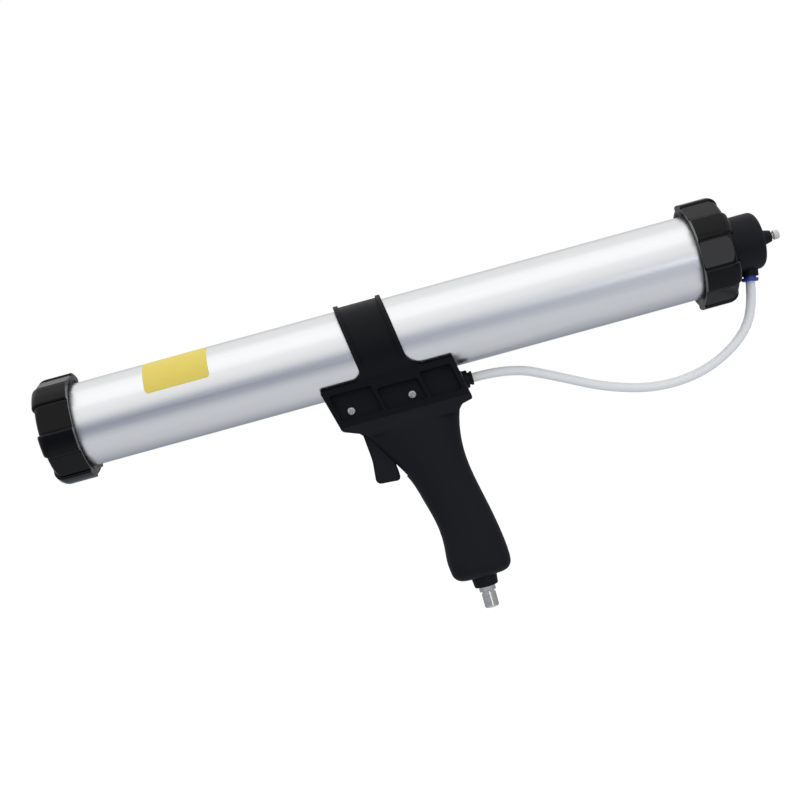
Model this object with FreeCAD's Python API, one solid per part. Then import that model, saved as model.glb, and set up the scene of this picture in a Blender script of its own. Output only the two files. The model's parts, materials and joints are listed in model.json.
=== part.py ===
import FreeCAD, Part

# An air-driven caulking gun for soft foil packs, held by a pistol grip under its barrel.
# The barrel lies along X with the muzzle towards -X, +Z is up, and all sizes are millimetres.
# Every piece is drawn from the middle of the barrel, on the barrel's axis. On export it moves
# to the tool's own frame, whose origin is in the middle of the grip, where a hand holds it.

import math
import os

from FreeCAD import Vector

# Clearances
RUNNING_GAP = 0.3
SHAFT_GAP = 0.1
SEAT_GAP = 0.04

# Barrel
BARREL_DIAMETER = 54.0
BARREL_WALL = 2.0
BARREL_BARE_LENGTH = 400.8
THREAD_DEPTH = 0.8

# Lobed ring nuts at both ends
RING_WALL = 5.6
RING_ACROSS_FLATS = 63.8
RING_LENGTH = 22.2
RING_LIP_THICKNESS = 5.2
RING_END_ROUND = 5.0
RING_MOUTH_FLARE = 3.0
RING_MOUTH_DEPTH = 3.5
RING_EDGE = 1.2
LOBE_COUNT = 6
LOBE_HEIGHT = 1.5
LOBE_ANGLE = 27.0
LOBE_END_ROUND = 6.5
LOBE_SOFT_EDGE = 1.3
FRONT_LOBE_PHASE = 45.0
REAR_LOBE_PHASE = 26.0
NOZZLE_OPENING_DIAMETER = 42.0
FRONT_SEAL_THICKNESS = 2.0
FRONT_SEAL_WIDTH = 3.4

# Floating piston, at rest behind a full pack
PISTON_REST_GAP = 2.4
PISTON_LENGTH = 30.0
PISTON_NOSE = 5.0
PISTON_CHAMFER_WIDTH = 7.0
PISTON_CHAMFER_LENGTH = 3.5
PISTON_SKIRT_WALL = 6.0
PISTON_SEAL_FROM_FRONT = 12.0
PISTON_SEAL_WIDTH = 5.0
PISTON_SEAL_DEPTH = 3.0
PISTON_SEAL_LIP = 1.0

# Rear plug with its hose port
PLUG_DIAMETER = 36.6
PLUG_BLOCK_LENGTH = 23.1
PLUG_BLOCK_ROUND = 4.0
PLUG_FLANGE_THICKNESS = 3.0
PLUG_SPIGOT_LENGTH = 13.0
PLUG_CHAMBER_DIAMETER = 17.0
PLUG_END_WALL = 9.0
PLUG_ORING_WIDTH = 2.6
PLUG_ORING_FROM_FRONT = 4.5
PORT_FROM_BLOCK_END = 10.9
PORT_TILT = 10.0
PORT_BODY_DIAMETER = 11.2
PORT_BODY_STICKS_OUT = 3.0
PORT_SHANK_DIAMETER = 8.0
PORT_SPOT_FACE_DEPTH = 2.0

# Bleed valve on the plug's axis
BLEED_THREAD_DIAMETER = 8.0
BLEED_COLLAR_DIAMETER = 10.0
BLEED_COLLAR_LENGTH = 8.0
BLEED_COLLAR_STRAIGHT = 2.7
BLEED_COLLAR_TIP_DIAMETER = 7.4
BLEED_BORE_DIAMETER = 5.4
BLEED_STEM_DIAMETER = 2.4
BLEED_TIP_DIAMETER = 6.0
BLEED_TIP_LENGTH = 3.6
BLEED_TIP_ROUND = 1.0
BLEED_TRAVEL = 1.6
BLEED_DISC_DIAMETER = 7.0
BLEED_DISC_THICKNESS = 1.5
BLEED_SEAL_WIRE = 1.2
BLEED_SPRING_WIRE = 0.5
BLEED_SPRING_TURNS = 5

# Air hose and its push-in collets
HOSE_DIAMETER = 6.0
HOSE_BORE = 4.0
HOSE_ENTRY_GAP = 0.15
COLLET_FLANGE_DIAMETER = 10.6
COLLET_FLANGE_THICKNESS = 2.1
COLLET_FLANGE_ROUND = 0.7
COLLET_SLEEVE_DIAMETER = 8.0
COLLET_SLEEVE_LENGTH = 3.0
COLLET_TRAVEL = 1.0
OUTLET_COLLET_DIAMETER = 9.0
OUTLET_COLLET_THICKNESS = 1.4

# Clamp that carries the barrel on the grip
BAND_THICKNESS = 1.9
BAND_LIP_HEIGHT = 1.3
BAND_LIP_WIDTH = 3.0
BAND_LIP_REACH = 12.0
BAND_FRONT_X = -23.7
BAND_BACK_X = 6.9
BAND_LEAN = 0.135
BAND_FRONT_FILLET = 6.0
BAND_BACK_FILLET = 11.0
FLANGE_RISE = 6.5
FLANGE_FRONT_X = -49.4
FLANGE_BACK_X = 36.9
FLANGE_FRONT_LEAN = 0.255
FLANGE_BACK_LEAN = 0.204
FLANGE_CORNER = 1.6
FLANGE_EDGE = 3.0
FLANGE_FOOT_HALF_WIDTH = 16.4
SADDLE_DROP = 19.0
TENON_HALF_WIDTH = 10.0
CHEEK_WALL = 3.2
POCKET_RIM = 3.6
POCKET_TOP_RIM = 4.0
POCKET_FOOT_RIM = 4.0
POCKET_CORNER = 1.6
MIDDLE_POCKET_DROP = 0.4
RIB_THICKNESS = 2.2
RIB_LEAN = 0.23
FRONT_RIB_X = -17.4
BACK_RIB_X = 11.6
CLAMP_GAP = 0.1

# Screws through the clamp and the grip's tenon
SCREW_DIAMETER = 3.0
SCREW_HEAD_DIAMETER = 5.7
SCREW_HEAD_HEIGHT = 2.1
SCREW_HEAD_ROUND = 1.05
SCREW_END_STANDS_OUT = 1.0
SCREW_DROP = 10.0
FRONT_SCREW_X = -33.3
BACK_SCREW_X = 6.45
NUT_ACROSS_FLATS = 5.5
NUT_THICKNESS = 2.4

# Grip: drop below the barrel, front edge, back edge and half width at each station
GRIP_STATIONS = [
    (19.0, -34.4, 37.0, 15.6),
    (27.0, -29.9, 33.3, 16.9),
    (38.0, -23.3, 30.4, 16.3),
    (53.0, -14.2, 29.1, 15.2),
    (63.0, -8.9, 29.8, 14.6),
    (77.0, -4.6, 32.2, 14.2),
    (93.0, -0.6, 35.5, 14.4),
    (110.0, 0.3, 38.3, 15.0),
    (121.0, -0.4, 39.4, 15.4),
    (133.0, 0.2, 37.8, 15.0),
]
GRIP_SECTION_POWER = 2.7
GRIP_SECTION_POINTS = 28
GRIP_END_ROUND = 6.5
GRIP_SEAM_WIDTH = 0.6
GRIP_SEAM_DEPTH = 0.5
GRIP_WALL = 3.4
GRIP_RIB_THICKNESS = 3.0
GRIP_RIB_DROPS = (74.0, 96.0)
GRIP_CAVITY_TOP_DROP = 55.0
GRIP_CAVITY_FOOT_DROP = 116.0
HOLD_X = 15.1
HOLD_DROP = 83.0

# Shoulder of the grip under the clamp: (inward from the saddle's end, drop, rounding) corners
HEAD_HEEL = [(-0.3, 3.3, 1.4), (7.0, 5.0, 2.0), (10.5, 9.0, 0)]
HEAD_NOSE = [(18.0, 9.5, 0), (12.0, 6.6, 1.0), (0.6, 2.2, 3.6)]
HEAD_EDGE = 1.6

# Trigger
TRIGGER_HALF_WIDTH = 6.5
TRIGGER_SOFT_EDGE = 1.6
TRIGGER_SIDE_GAP = 0.5
TRIGGER_SLOT_GAP = 1.8
TRIGGER_PIVOT_X = -33.0
TRIGGER_PIVOT_DROP = 21.0
TRIGGER_BOSS_RADIUS = 3.6
TRIGGER_SWING = 8.0
TRIGGER_DEPTH = 17.8
TRIGGER_LENGTH = 39.5
TRIGGER_SHOULDER_RUN = 5.6
TRIGGER_SHOULDER_DROP = 0.6
TRIGGER_SHOULDER_ROUND = 1.5
TRIGGER_NECK_DROP = 8.0
TRIGGER_NECK_ROUND = 3.0
TRIGGER_STEP_HEIGHT = 9.5
TRIGGER_TIP_HEIGHT = 5.0
TRIGGER_TIP_ROUND = 2.3
TRIGGER_TIP_FLARE = 0.5
TRIGGER_TIP_SLOPE = 1.3
TRIGGER_TOE_ROUND = 3.4
TRIGGER_FRONT_SET_BACK = 2.4
TRIGGER_FRONT_DROP = 6.0
TRIGGER_FINGER_HEIGHT = 16.5
TRIGGER_FINGER_HOLLOW = 1.5
TRIGGER_FINGER_ROUND = 40.0
PIVOT_PIN_DIAMETER = 3.0
PIVOT_PIN_HALF_LENGTH = 12.0

# Trigger valve in the grip
VALVE_DROP = 34.0
VALVE_FRONT_X = -8.0
VALVE_BACK_X = 26.6
VALVE_DIAMETER = 16.0
VALVE_STEM_DIAMETER = 4.0
VALVE_BUTTON_DIAMETER = 5.0
VALVE_BUTTON_LENGTH = 2.4
VALVE_BUTTON_GAP = 0.4
VALVE_GLAND_LENGTH = 12.0
VALVE_CHAMBER_DIAMETER = 9.0
VALVE_SEAT_X = 15.0
VALVE_SEAT_THICKNESS = 1.4
VALVE_SEAT_DIAMETER = 6.0
POPPET_DIAMETER = 8.4
POPPET_THICKNESS = 2.0
POPPET_FACE_THICKNESS = 0.8
VALVE_PLUG_LENGTH = 2.8
VALVE_SPRING_WIRE = 0.5
VALVE_SPRING_TURNS = 3
STEM_SEAL_WIDTH = 1.4
STEM_SEAL_FROM_FRONT = 5.0
OUTLET_DUCT_X = 12.6
OUTLET_DUCT_DIAMETER = 7.0
OUTLET_DUCT_SHOULDER = 0.5
OUTLET_DROP = 9.8
OUTLET_SOCKET_DIAMETER = 12.6
OUTLET_BORE_DIAMETER = 4.4
OUTLET_SHANK_DIAMETER = 9.0
OUTLET_SHANK_LENGTH = 9.0
OUTLET_BODY_DIAMETER = 11.6
OUTLET_BODY_LENGTH = 3.5
OUTLET_BODY_ROUND = 1.0

# Air inlet under the grip
INLET_X = 20.0
INLET_COLLAR_DIAMETER = 16.8
INLET_COLLAR_FOOT_DIAMETER = 15.2
INLET_COLLAR_LENGTH = 7.0
INLET_COLLAR_WALL = 1.7
INLET_SHANK_DIAMETER = 9.6
INLET_SHANK_RISE = 13.0
INLET_HEX_ACROSS_FLATS = 9.2
INLET_HEX_LENGTH = 3.4
INLET_GROOVE_DIAMETER = 7.8
INLET_GROOVE_LENGTH = 1.3
INLET_PLUG_DIAMETER = 9.2
INLET_PLUG_LENGTH = 9.4
INLET_PLUG_ROUND = 1.4
INLET_BORE_DIAMETER = 5.0
INLET_WASHER_THICKNESS = 1.0
PIPE_DIAMETER = 8.0
PIPE_BORE = 5.0
PIPE_SOCKET_DEPTH = 5.0
INLET_BOSS_DIAMETER = 11.6
INLET_BOSS_DROP = 13.0

# Hose route from the handle's fitting to the rear port, as (x, z) points chosen by eye
HOSE_FIRST_RUN = 24.6
HOSE_ROUTE = [
    (98.5, -50.2),
    (126.5, -65.1),
    (158.1, -74.5),
    (190.1, -72.8),
    (217.1, -59.6),
]
HOSE_LAST_RUN = 18.0
HOSE_ARC_SHARE = 0.45

# Sizes that follow from the ones above
BARREL_R = BARREL_DIAMETER / 2
BORE_R = BARREL_R - BARREL_WALL
RING_FACE_X = BARREL_BARE_LENGTH / 2
THREAD_LENGTH = RING_LENGTH - FRONT_SEAL_THICKNESS - RING_LIP_THICKNESS
BARREL_END_X = RING_FACE_X + THREAD_LENGTH
PISTON_FRONT_X = BARREL_END_X - PLUG_SPIGOT_LENGTH - PISTON_REST_GAP - PISTON_LENGTH
RING_BORE_R = BARREL_R + RUNNING_GAP
RING_R = RING_BORE_R + RING_WALL
SADDLE_Z = -(BARREL_R + SADDLE_DROP)
FLANGE_TOP_Z = -(BARREL_R - FLANGE_RISE)
SCREW_Z = -(BARREL_R + SCREW_DROP)
OUTLET_Z = -(BARREL_R + OUTLET_DROP)
VALVE_Z = -(BARREL_R + VALVE_DROP)
PIVOT_Z = -(BARREL_R + TRIGGER_PIVOT_DROP)
TRIGGER_BACK_X = TRIGGER_PIVOT_X + TRIGGER_DEPTH
GRIP_FOOT_Z = -(BARREL_R + GRIP_STATIONS[-1][0])
BAND_R = BARREL_R + BAND_THICKNESS
FLANGE_HALF_WIDTH = math.sqrt(BAND_R ** 2 - FLANGE_TOP_Z ** 2)
POCKET_FLOOR = TENON_HALF_WIDTH + CHEEK_WALL
PLUG_R = PLUG_DIAMETER / 2
PLUG_FLANGE_END_X = BARREL_END_X + PLUG_FLANGE_THICKNESS
PLUG_END_X = RING_FACE_X + RING_LENGTH + PLUG_BLOCK_LENGTH
OUTLET_FACE_X = FLANGE_BACK_X + (FLANGE_TOP_Z - OUTLET_Z) * FLANGE_BACK_LEAN
COLLET_GAP = COLLET_TRAVEL + RUNNING_GAP
HOSE_START_X = OUTLET_FACE_X + OUTLET_BODY_LENGTH + COLLET_GAP + OUTLET_COLLET_THICKNESS

ALONG = Vector(1, 0, 0)
ACROSS = Vector(0, 1, 0)
UP = Vector(0, 0, 1)
FAR = 400.0
OVERCUT = 1.0


def rounded_outline(corners):
    """Closed wire in the XZ plane through (x, z, rounding) corners."""
    count = len(corners)
    bends = []
    for i in range(count):
        x, z, rounding = corners[i]
        here = Vector(x, 0, z)
        if rounding == 0:
            bends.append((here, None, here))
            continue
        before = Vector(corners[i - 1][0], 0, corners[i - 1][1])
        after = Vector(corners[(i + 1) % count][0], 0, corners[(i + 1) % count][1])
        back = (before - here).normalize()
        ahead = (after - here).normalize()
        half = back.getAngle(ahead) / 2
        reach = rounding / math.tan(half)
        inward = (back + ahead).normalize()
        middle = here + inward * (rounding / math.sin(half) - rounding)
        bends.append((here + back * reach, middle, here + ahead * reach))
    edges = []
    for i in range(count):
        start, middle, end = bends[i]
        following = bends[(i + 1) % count][0]
        if middle is not None:
            edges.append(Part.Arc(start, middle, end).toShape())
        if (following - end).Length > 1e-6:
            edges.append(Part.LineSegment(end, following).toShape())
    return Part.Wire(edges)


def sharp(points):
    """The same points as corners with no rounding."""
    return [(x, z, 0) for x, z in points]


def slab(corners, y_low, y_high):
    """Side-view outline made solid between two Y planes."""
    face = Part.Face(rounded_outline(corners))
    face.translate(Vector(0, y_low, 0))
    return face.extrude(Vector(0, y_high - y_low, 0))


def turned(corners, degrees=360.0):
    """(x, radius, rounding) profile turned about the barrel's axis."""
    face = Part.Face(rounded_outline(corners))
    return face.revolve(Vector(0, 0, 0), ALONG, degrees)


def turned_upright(corners, centre_x):
    """(radius, z, rounding) profile turned about an upright axis at centre_x."""
    moved = [(centre_x + radius, z, rounding) for radius, z, rounding in corners]
    face = Part.Face(rounded_outline(moved))
    return face.revolve(Vector(centre_x, 0, 0), UP, 360.0)


def rod(x_low, x_high, radius, z=0.0):
    """Cylinder along X."""
    return Part.makeCylinder(radius, x_high - x_low, Vector(x_low, 0, z), ALONG)


def cross_rod(x, z, radius, y_low, y_high):
    """Cylinder along Y."""
    return Part.makeCylinder(radius, y_high - y_low, Vector(x, y_low, z), ACROSS)


def post(z_low, z_high, radius, x):
    """Cylinder along Z."""
    return Part.makeCylinder(radius, z_high - z_low, Vector(x, 0, z_low), UP)


def hexagon_prism(across_flats, height, base, direction):
    """Hexagonal prism that stands on base along direction."""
    corner_radius = across_flats / math.sqrt(3)
    corners = []
    for k in range(7):
        angle = math.radians(60 * k)
        corners.append(Vector(corner_radius * math.cos(angle), corner_radius * math.sin(angle), 0))
    prism = Part.Face(Part.makePolygon(corners)).extrude(Vector(0, 0, height))
    prism.Placement = FreeCAD.Placement(base, FreeCAD.Rotation(UP, direction))
    return prism


def biarc(start, start_way, end, end_way):
    """Two arcs from start to end that leave and arrive along the given unit directions."""
    chord = end - start
    ways = start_way + end_way
    bend = 2 * (1 - start_way.dot(end_way))
    lean = chord.dot(ways)
    reach = (math.sqrt(lean ** 2 + bend * chord.dot(chord)) - lean) / bend
    first_knee = start + start_way * reach
    second_knee = end - end_way * reach
    joint = (first_knee + second_knee) * 0.5
    arcs = []
    for low, knee, high in ((start, first_knee, joint), (joint, second_knee, end)):
        half = (low - knee).getAngle(high - knee) / 2
        radius = (low - knee).Length * math.tan(half)
        middle = ((low + high) * 0.5 - knee).normalize()
        arcs.append(Part.Arc(low, knee + middle * (radius / math.sin(half) - radius), high).toShape())
    return arcs


def coil_spring(x_low, x_high, radius, wire, turns, z=0.0):
    """Compression spring along X that fills the space from x_low to x_high."""
    rise = (x_high - x_low - wire) / (2 * math.pi * turns)

    def place(angle):
        return Vector(x_low + wire / 2 + rise * angle, radius * math.cos(angle), z + radius * math.sin(angle))

    def way(angle):
        return Vector(rise, -radius * math.sin(angle), radius * math.cos(angle)).normalize()

    edges = []
    quarter = math.pi / 2
    for k in range(4 * turns):
        low = k * quarter
        edges += biarc(place(low), way(low), place(low + quarter), way(low + quarter))
    section = Part.Wire(Part.makeCircle(wire / 2, place(0), way(0)))
    print("spring gap between turns", round(2 * math.pi * rise - wire, 2))
    return Part.Wire(edges).makePipeShell([section], True, False)


def barrel_tube():
    shoulder_x = RING_FACE_X + RING_MOUTH_DEPTH
    thread_r = BARREL_R - THREAD_DEPTH
    return turned(sharp([
        (-BARREL_END_X, BORE_R),
        (-BARREL_END_X, thread_r),
        (-shoulder_x, thread_r),
        (-shoulder_x, BARREL_R),
        (shoulder_x, BARREL_R),
        (shoulder_x, thread_r),
        (BARREL_END_X, thread_r),
        (BARREL_END_X, BORE_R),
    ]))


def lobe(phase):
    """Raised pad that wraps the ring's outside and its rounded end."""
    inner_r = RING_BORE_R + RING_WALL / 2
    end_x = RING_LENGTH + LOBE_HEIGHT
    outer_r = RING_R + LOBE_HEIGHT
    face_r = outer_r - LOBE_END_ROUND - LOBE_HEIGHT
    pad = turned([
        (0, inner_r, 0),
        (0, outer_r, 0),
        (end_x, outer_r, LOBE_END_ROUND),
        (end_x, face_r, 0),
        (RING_LENGTH - LOBE_HEIGHT, face_r - LOBE_HEIGHT, 0),
        (RING_LENGTH - LOBE_HEIGHT, inner_r, 0),
    ], LOBE_ANGLE)
    outer_sides = []
    for edge in pad.Edges:
        middle = edge.valueAt((edge.FirstParameter + edge.LastParameter) / 2)
        angle = math.degrees(math.atan2(-middle.y, middle.z))
        side_face = min(abs(angle), abs(angle - LOBE_ANGLE)) < 1e-3
        radius = math.hypot(middle.y, middle.z)
        on_wall = radius > outer_r - 1e-6 and middle.x > 1e-6
        on_end = middle.x > end_x - 1e-6 and radius > face_r + 1e-6
        on_round = radius > outer_r - LOBE_END_ROUND and middle.x > end_x - LOBE_END_ROUND
        if side_face and (on_wall or on_end or on_round):
            outer_sides.append(edge)
    pad = pad.makeFillet(LOBE_SOFT_EDGE, outer_sides)
    # A pad starts upright at +Z, and a phase counts from the side at -Y up towards +Z.
    pad.rotate(Vector(0, 0, 0), ALONG, 90 - LOBE_ANGLE / 2 - phase)
    return pad


def ring_nut(stack, opening_r, phase):
    """Ring nut that opens towards -X, with its lip after the stack of pieces that it clamps."""
    lip_x = THREAD_LENGTH + stack
    body = turned([
        (0, RING_BORE_R + RING_MOUTH_FLARE, 0),
        (0, RING_R, RING_EDGE),
        (RING_LENGTH, RING_R, RING_END_ROUND),
        (RING_LENGTH, opening_r, 0),
        (lip_x, opening_r, 0),
        (lip_x, RING_BORE_R, 0),
        (RING_MOUTH_DEPTH, RING_BORE_R, 0),
    ])
    # The valleys between the pads are flats of a hexagon, whose corners point at the pads.
    flats = hexagon_prism(RING_ACROSS_FLATS, RING_LENGTH, Vector(0, 0, 0), ALONG)
    flats.rotate(Vector(0, 0, 0), ALONG, 90 - phase)
    pads = [lobe(phase + k * 360.0 / LOBE_COUNT) for k in range(LOBE_COUNT)]
    return body.common(flats).fuse(pads).removeSplitter()


def front_ring_nut():
    # The ring is drawn as a rear one and turned round, so its phase is mirrored first.
    ring = ring_nut(FRONT_SEAL_THICKNESS, NOZZLE_OPENING_DIAMETER / 2, 180.0 - FRONT_LOBE_PHASE)
    ring.translate(Vector(RING_FACE_X, 0, 0))
    ring.rotate(Vector(0, 0, 0), UP, 180)
    return ring


def front_seal_washer():
    outer_r = RING_BORE_R - RUNNING_GAP
    inner_r = outer_r - FRONT_SEAL_WIDTH
    x = -(BARREL_END_X + FRONT_SEAL_THICKNESS)
    return rod(x, -BARREL_END_X, outer_r).cut(rod(x, -BARREL_END_X, inner_r))


def rear_ring_nut():
    ring = ring_nut(PLUG_FLANGE_THICKNESS, PLUG_R + RUNNING_GAP, REAR_LOBE_PHASE)
    ring.translate(Vector(RING_FACE_X, 0, 0))
    return ring


def piston():
    outer_r = BORE_R - RUNNING_GAP
    inner_r = outer_r - PISTON_SKIRT_WALL
    groove_r = outer_r - PISTON_SEAL_DEPTH
    seal_x = PISTON_FRONT_X + PISTON_SEAL_FROM_FRONT
    back_x = PISTON_FRONT_X + PISTON_LENGTH
    return turned(sharp([
        (PISTON_FRONT_X, 0),
        (PISTON_FRONT_X, outer_r - PISTON_CHAMFER_WIDTH),
        (PISTON_FRONT_X + PISTON_CHAMFER_LENGTH, outer_r),
        (seal_x, outer_r),
        (seal_x, groove_r),
        (seal_x + PISTON_SEAL_WIDTH, groove_r),
        (seal_x + PISTON_SEAL_WIDTH, outer_r),
        (back_x, outer_r),
        (back_x, inner_r),
        (PISTON_FRONT_X + PISTON_NOSE, inner_r),
        (PISTON_FRONT_X + PISTON_NOSE, 0),
    ]))


def piston_seal():
    """Cup seal whose lip opens towards the air behind the piston."""
    lip_r = BORE_R - SHAFT_GAP
    groove_r = BORE_R - RUNNING_GAP - PISTON_SEAL_DEPTH + SEAT_GAP
    front_x = PISTON_FRONT_X + PISTON_SEAL_FROM_FRONT + SEAT_GAP
    back_x = front_x + PISTON_SEAL_WIDTH - 2 * SEAT_GAP
    root_x = front_x + PISTON_SEAL_WIDTH / 2
    return turned(sharp([
        (front_x, groove_r),
        (front_x, lip_r - PISTON_SEAL_LIP),
        (back_x, lip_r),
        (back_x, lip_r - PISTON_SEAL_LIP),
        (root_x, groove_r + PISTON_SEAL_LIP),
        (back_x, groove_r + PISTON_SEAL_LIP),
        (back_x, groove_r),
    ]))


def port_axis():
    """Direction of the rear port, out of the block: down and a little forward."""
    tilt = math.radians(PORT_TILT)
    return Vector(-math.sin(tilt), 0, -math.cos(tilt))


def port_point(out):
    """Point on the port's axis, out millimetres beyond the block's skin."""
    skin = Vector(PLUG_END_X - PORT_FROM_BLOCK_END, 0, -PLUG_R)
    return skin + port_axis() * out


def port_rod(out_low, out_high, radius):
    return Part.makeCylinder(radius, out_high - out_low, port_point(out_low), port_axis())


def plug_chamber_end_x():
    return PLUG_END_X - PLUG_END_WALL


def rear_plug():
    spigot_r = BORE_R - RUNNING_GAP
    front_x = BARREL_END_X - PLUG_SPIGOT_LENGTH
    groove_x = front_x + PLUG_ORING_FROM_FRONT
    groove_r = spigot_r - PLUG_ORING_WIDTH + SHAFT_GAP
    chamber_r = PLUG_CHAMBER_DIAMETER / 2
    thread_r = BLEED_THREAD_DIAMETER / 2 + SEAT_GAP
    chamber_end = plug_chamber_end_x()
    body = turned([
        (front_x, chamber_r, 0),
        (front_x, spigot_r, 0),
        (groove_x, spigot_r, 0),
        (groove_x, groove_r, 0),
        (groove_x + PLUG_ORING_WIDTH, groove_r, 0),
        (groove_x + PLUG_ORING_WIDTH, spigot_r, 0),
        (BARREL_END_X, spigot_r, 0),
        (BARREL_END_X, RING_BORE_R - RUNNING_GAP, 0),
        (PLUG_FLANGE_END_X, RING_BORE_R - RUNNING_GAP, 0),
        (PLUG_FLANGE_END_X, PLUG_R, 0),
        (PLUG_END_X, PLUG_R, PLUG_BLOCK_ROUND),
        (PLUG_END_X, thread_r, 0),
        (chamber_end, thread_r, 0),
        (chamber_end, chamber_r, 0),
    ])
    wall = PLUG_R - chamber_r
    spot_face = port_rod(-PORT_SPOT_FACE_DEPTH, PLUG_R, PORT_BODY_DIAMETER / 2 + SEAT_GAP)
    thread = port_rod(-wall - PORT_SHANK_DIAMETER, 0, PORT_SHANK_DIAMETER / 2 + SEAT_GAP)
    return body.cut([spot_face, thread])


def rear_oring():
    wire_r = PLUG_ORING_WIDTH / 2 - SEAT_GAP
    x = BARREL_END_X - PLUG_SPIGOT_LENGTH + PLUG_ORING_FROM_FRONT + PLUG_ORING_WIDTH / 2
    return Part.makeTorus(BORE_R - SHAFT_GAP - wire_r, wire_r, Vector(x, 0, 0), ALONG)


def rear_port_fitting():
    """Push-in fitting screwed into the underside of the block."""
    seat = -PORT_SPOT_FACE_DEPTH
    wall = PLUG_R - PLUG_CHAMBER_DIAMETER / 2
    body = port_rod(seat, PORT_BODY_STICKS_OUT, PORT_BODY_DIAMETER / 2)
    shank = port_rod(-wall, seat, PORT_SHANK_DIAMETER / 2)
    socket_floor = PORT_BODY_STICKS_OUT - COLLET_SLEEVE_LENGTH - RUNNING_GAP
    socket = port_rod(socket_floor, PORT_BODY_STICKS_OUT, COLLET_SLEEVE_DIAMETER / 2 + SHAFT_GAP)
    passage = port_rod(-wall - OVERCUT, PORT_BODY_STICKS_OUT, HOSE_BORE / 2)
    return body.fuse(shank).cut([socket, passage])


def rear_collet():
    """Release ring of the rear fitting, with the play that it is pressed through."""
    face = PORT_BODY_STICKS_OUT + COLLET_GAP
    flange = port_rod(face, face + COLLET_FLANGE_THICKNESS, COLLET_FLANGE_DIAMETER / 2)
    mouth = port_point(face + COLLET_FLANGE_THICKNESS)
    rim = [edge for edge in flange.Edges if edge.Closed and (edge.CenterOfMass - mouth).Length < 1e-6]
    flange = flange.makeFillet(COLLET_FLANGE_ROUND, rim)
    sleeve = port_rod(face - COLLET_SLEEVE_LENGTH, face, COLLET_SLEEVE_DIAMETER / 2)
    bore = port_rod(-PLUG_R, PLUG_R, HOSE_DIAMETER / 2 + HOSE_ENTRY_GAP)
    return flange.fuse(sleeve).cut(bore)


def hose_end():
    """Point on the rear port's axis where the hose meets the collet's face."""
    return port_point(PORT_BODY_STICKS_OUT + COLLET_GAP + COLLET_FLANGE_THICKNESS)


def bleed_collar():
    """Bush of the bleed valve: threaded into the block, with a tapered collar outside."""
    collar_end = PLUG_END_X + BLEED_COLLAR_LENGTH
    stem_r = BLEED_STEM_DIAMETER / 2 + SHAFT_GAP
    return turned(sharp([
        (plug_chamber_end_x(), stem_r),
        (plug_chamber_end_x(), BLEED_THREAD_DIAMETER / 2),
        (PLUG_END_X, BLEED_THREAD_DIAMETER / 2),
        (PLUG_END_X, BLEED_COLLAR_DIAMETER / 2),
        (PLUG_END_X + BLEED_COLLAR_STRAIGHT, BLEED_COLLAR_DIAMETER / 2),
        (collar_end, BLEED_COLLAR_TIP_DIAMETER / 2),
        (collar_end, BLEED_BORE_DIAMETER / 2),
        (PLUG_END_X, BLEED_BORE_DIAMETER / 2),
        (PLUG_END_X, stem_r),
    ]))


def bleed_pin():
    """Stem with a press tip outside and a valve disc inside the plug."""
    tip_x = PLUG_END_X + BLEED_COLLAR_LENGTH + BLEED_TRAVEL + RUNNING_GAP
    disc_back = plug_chamber_end_x() - BLEED_SEAL_WIRE
    disc_front = disc_back - BLEED_DISC_THICKNESS
    stem_r = BLEED_STEM_DIAMETER / 2
    tip_r = BLEED_TIP_DIAMETER / 2
    return turned([
        (disc_front, 0, 0),
        (disc_front, BLEED_DISC_DIAMETER / 2, 0),
        (disc_back, BLEED_DISC_DIAMETER / 2, 0),
        (disc_back, stem_r, 0),
        (tip_x, stem_r, 0),
        (tip_x, tip_r, 0),
        (tip_x + BLEED_TIP_LENGTH, tip_r, BLEED_TIP_ROUND),
        (tip_x + BLEED_TIP_LENGTH, 0, 0),
    ])


def bleed_seal():
    """Sealing ring between the disc and the bush."""
    wire_r = BLEED_SEAL_WIRE / 2 - SEAT_GAP / 2
    ring_r = BLEED_STEM_DIAMETER / 2 + SHAFT_GAP + wire_r
    x = plug_chamber_end_x() - BLEED_SEAL_WIRE / 2
    return Part.makeTorus(ring_r, wire_r, Vector(x, 0, 0), ALONG)


def bleed_spring():
    tip_x = PLUG_END_X + BLEED_COLLAR_LENGTH + BLEED_TRAVEL + RUNNING_GAP
    radius = (BLEED_STEM_DIAMETER + BLEED_BORE_DIAMETER) / 4
    return coil_spring(PLUG_END_X + SEAT_GAP, tip_x - SEAT_GAP, radius, BLEED_SPRING_WIRE, BLEED_SPRING_TURNS)


def band_x(edge_x, z):
    """Where one edge of the leaning band lies at height z."""
    return edge_x - BAND_LEAN * z


def flange_front_x(z):
    return FLANGE_FRONT_X + (FLANGE_TOP_Z - z) * FLANGE_FRONT_LEAN


def flange_back_x(z):
    return FLANGE_BACK_X + (FLANGE_TOP_Z - z) * FLANGE_BACK_LEAN


def rib_x(rib, z):
    return rib + (FLANGE_TOP_Z - z) * RIB_LEAN


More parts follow.
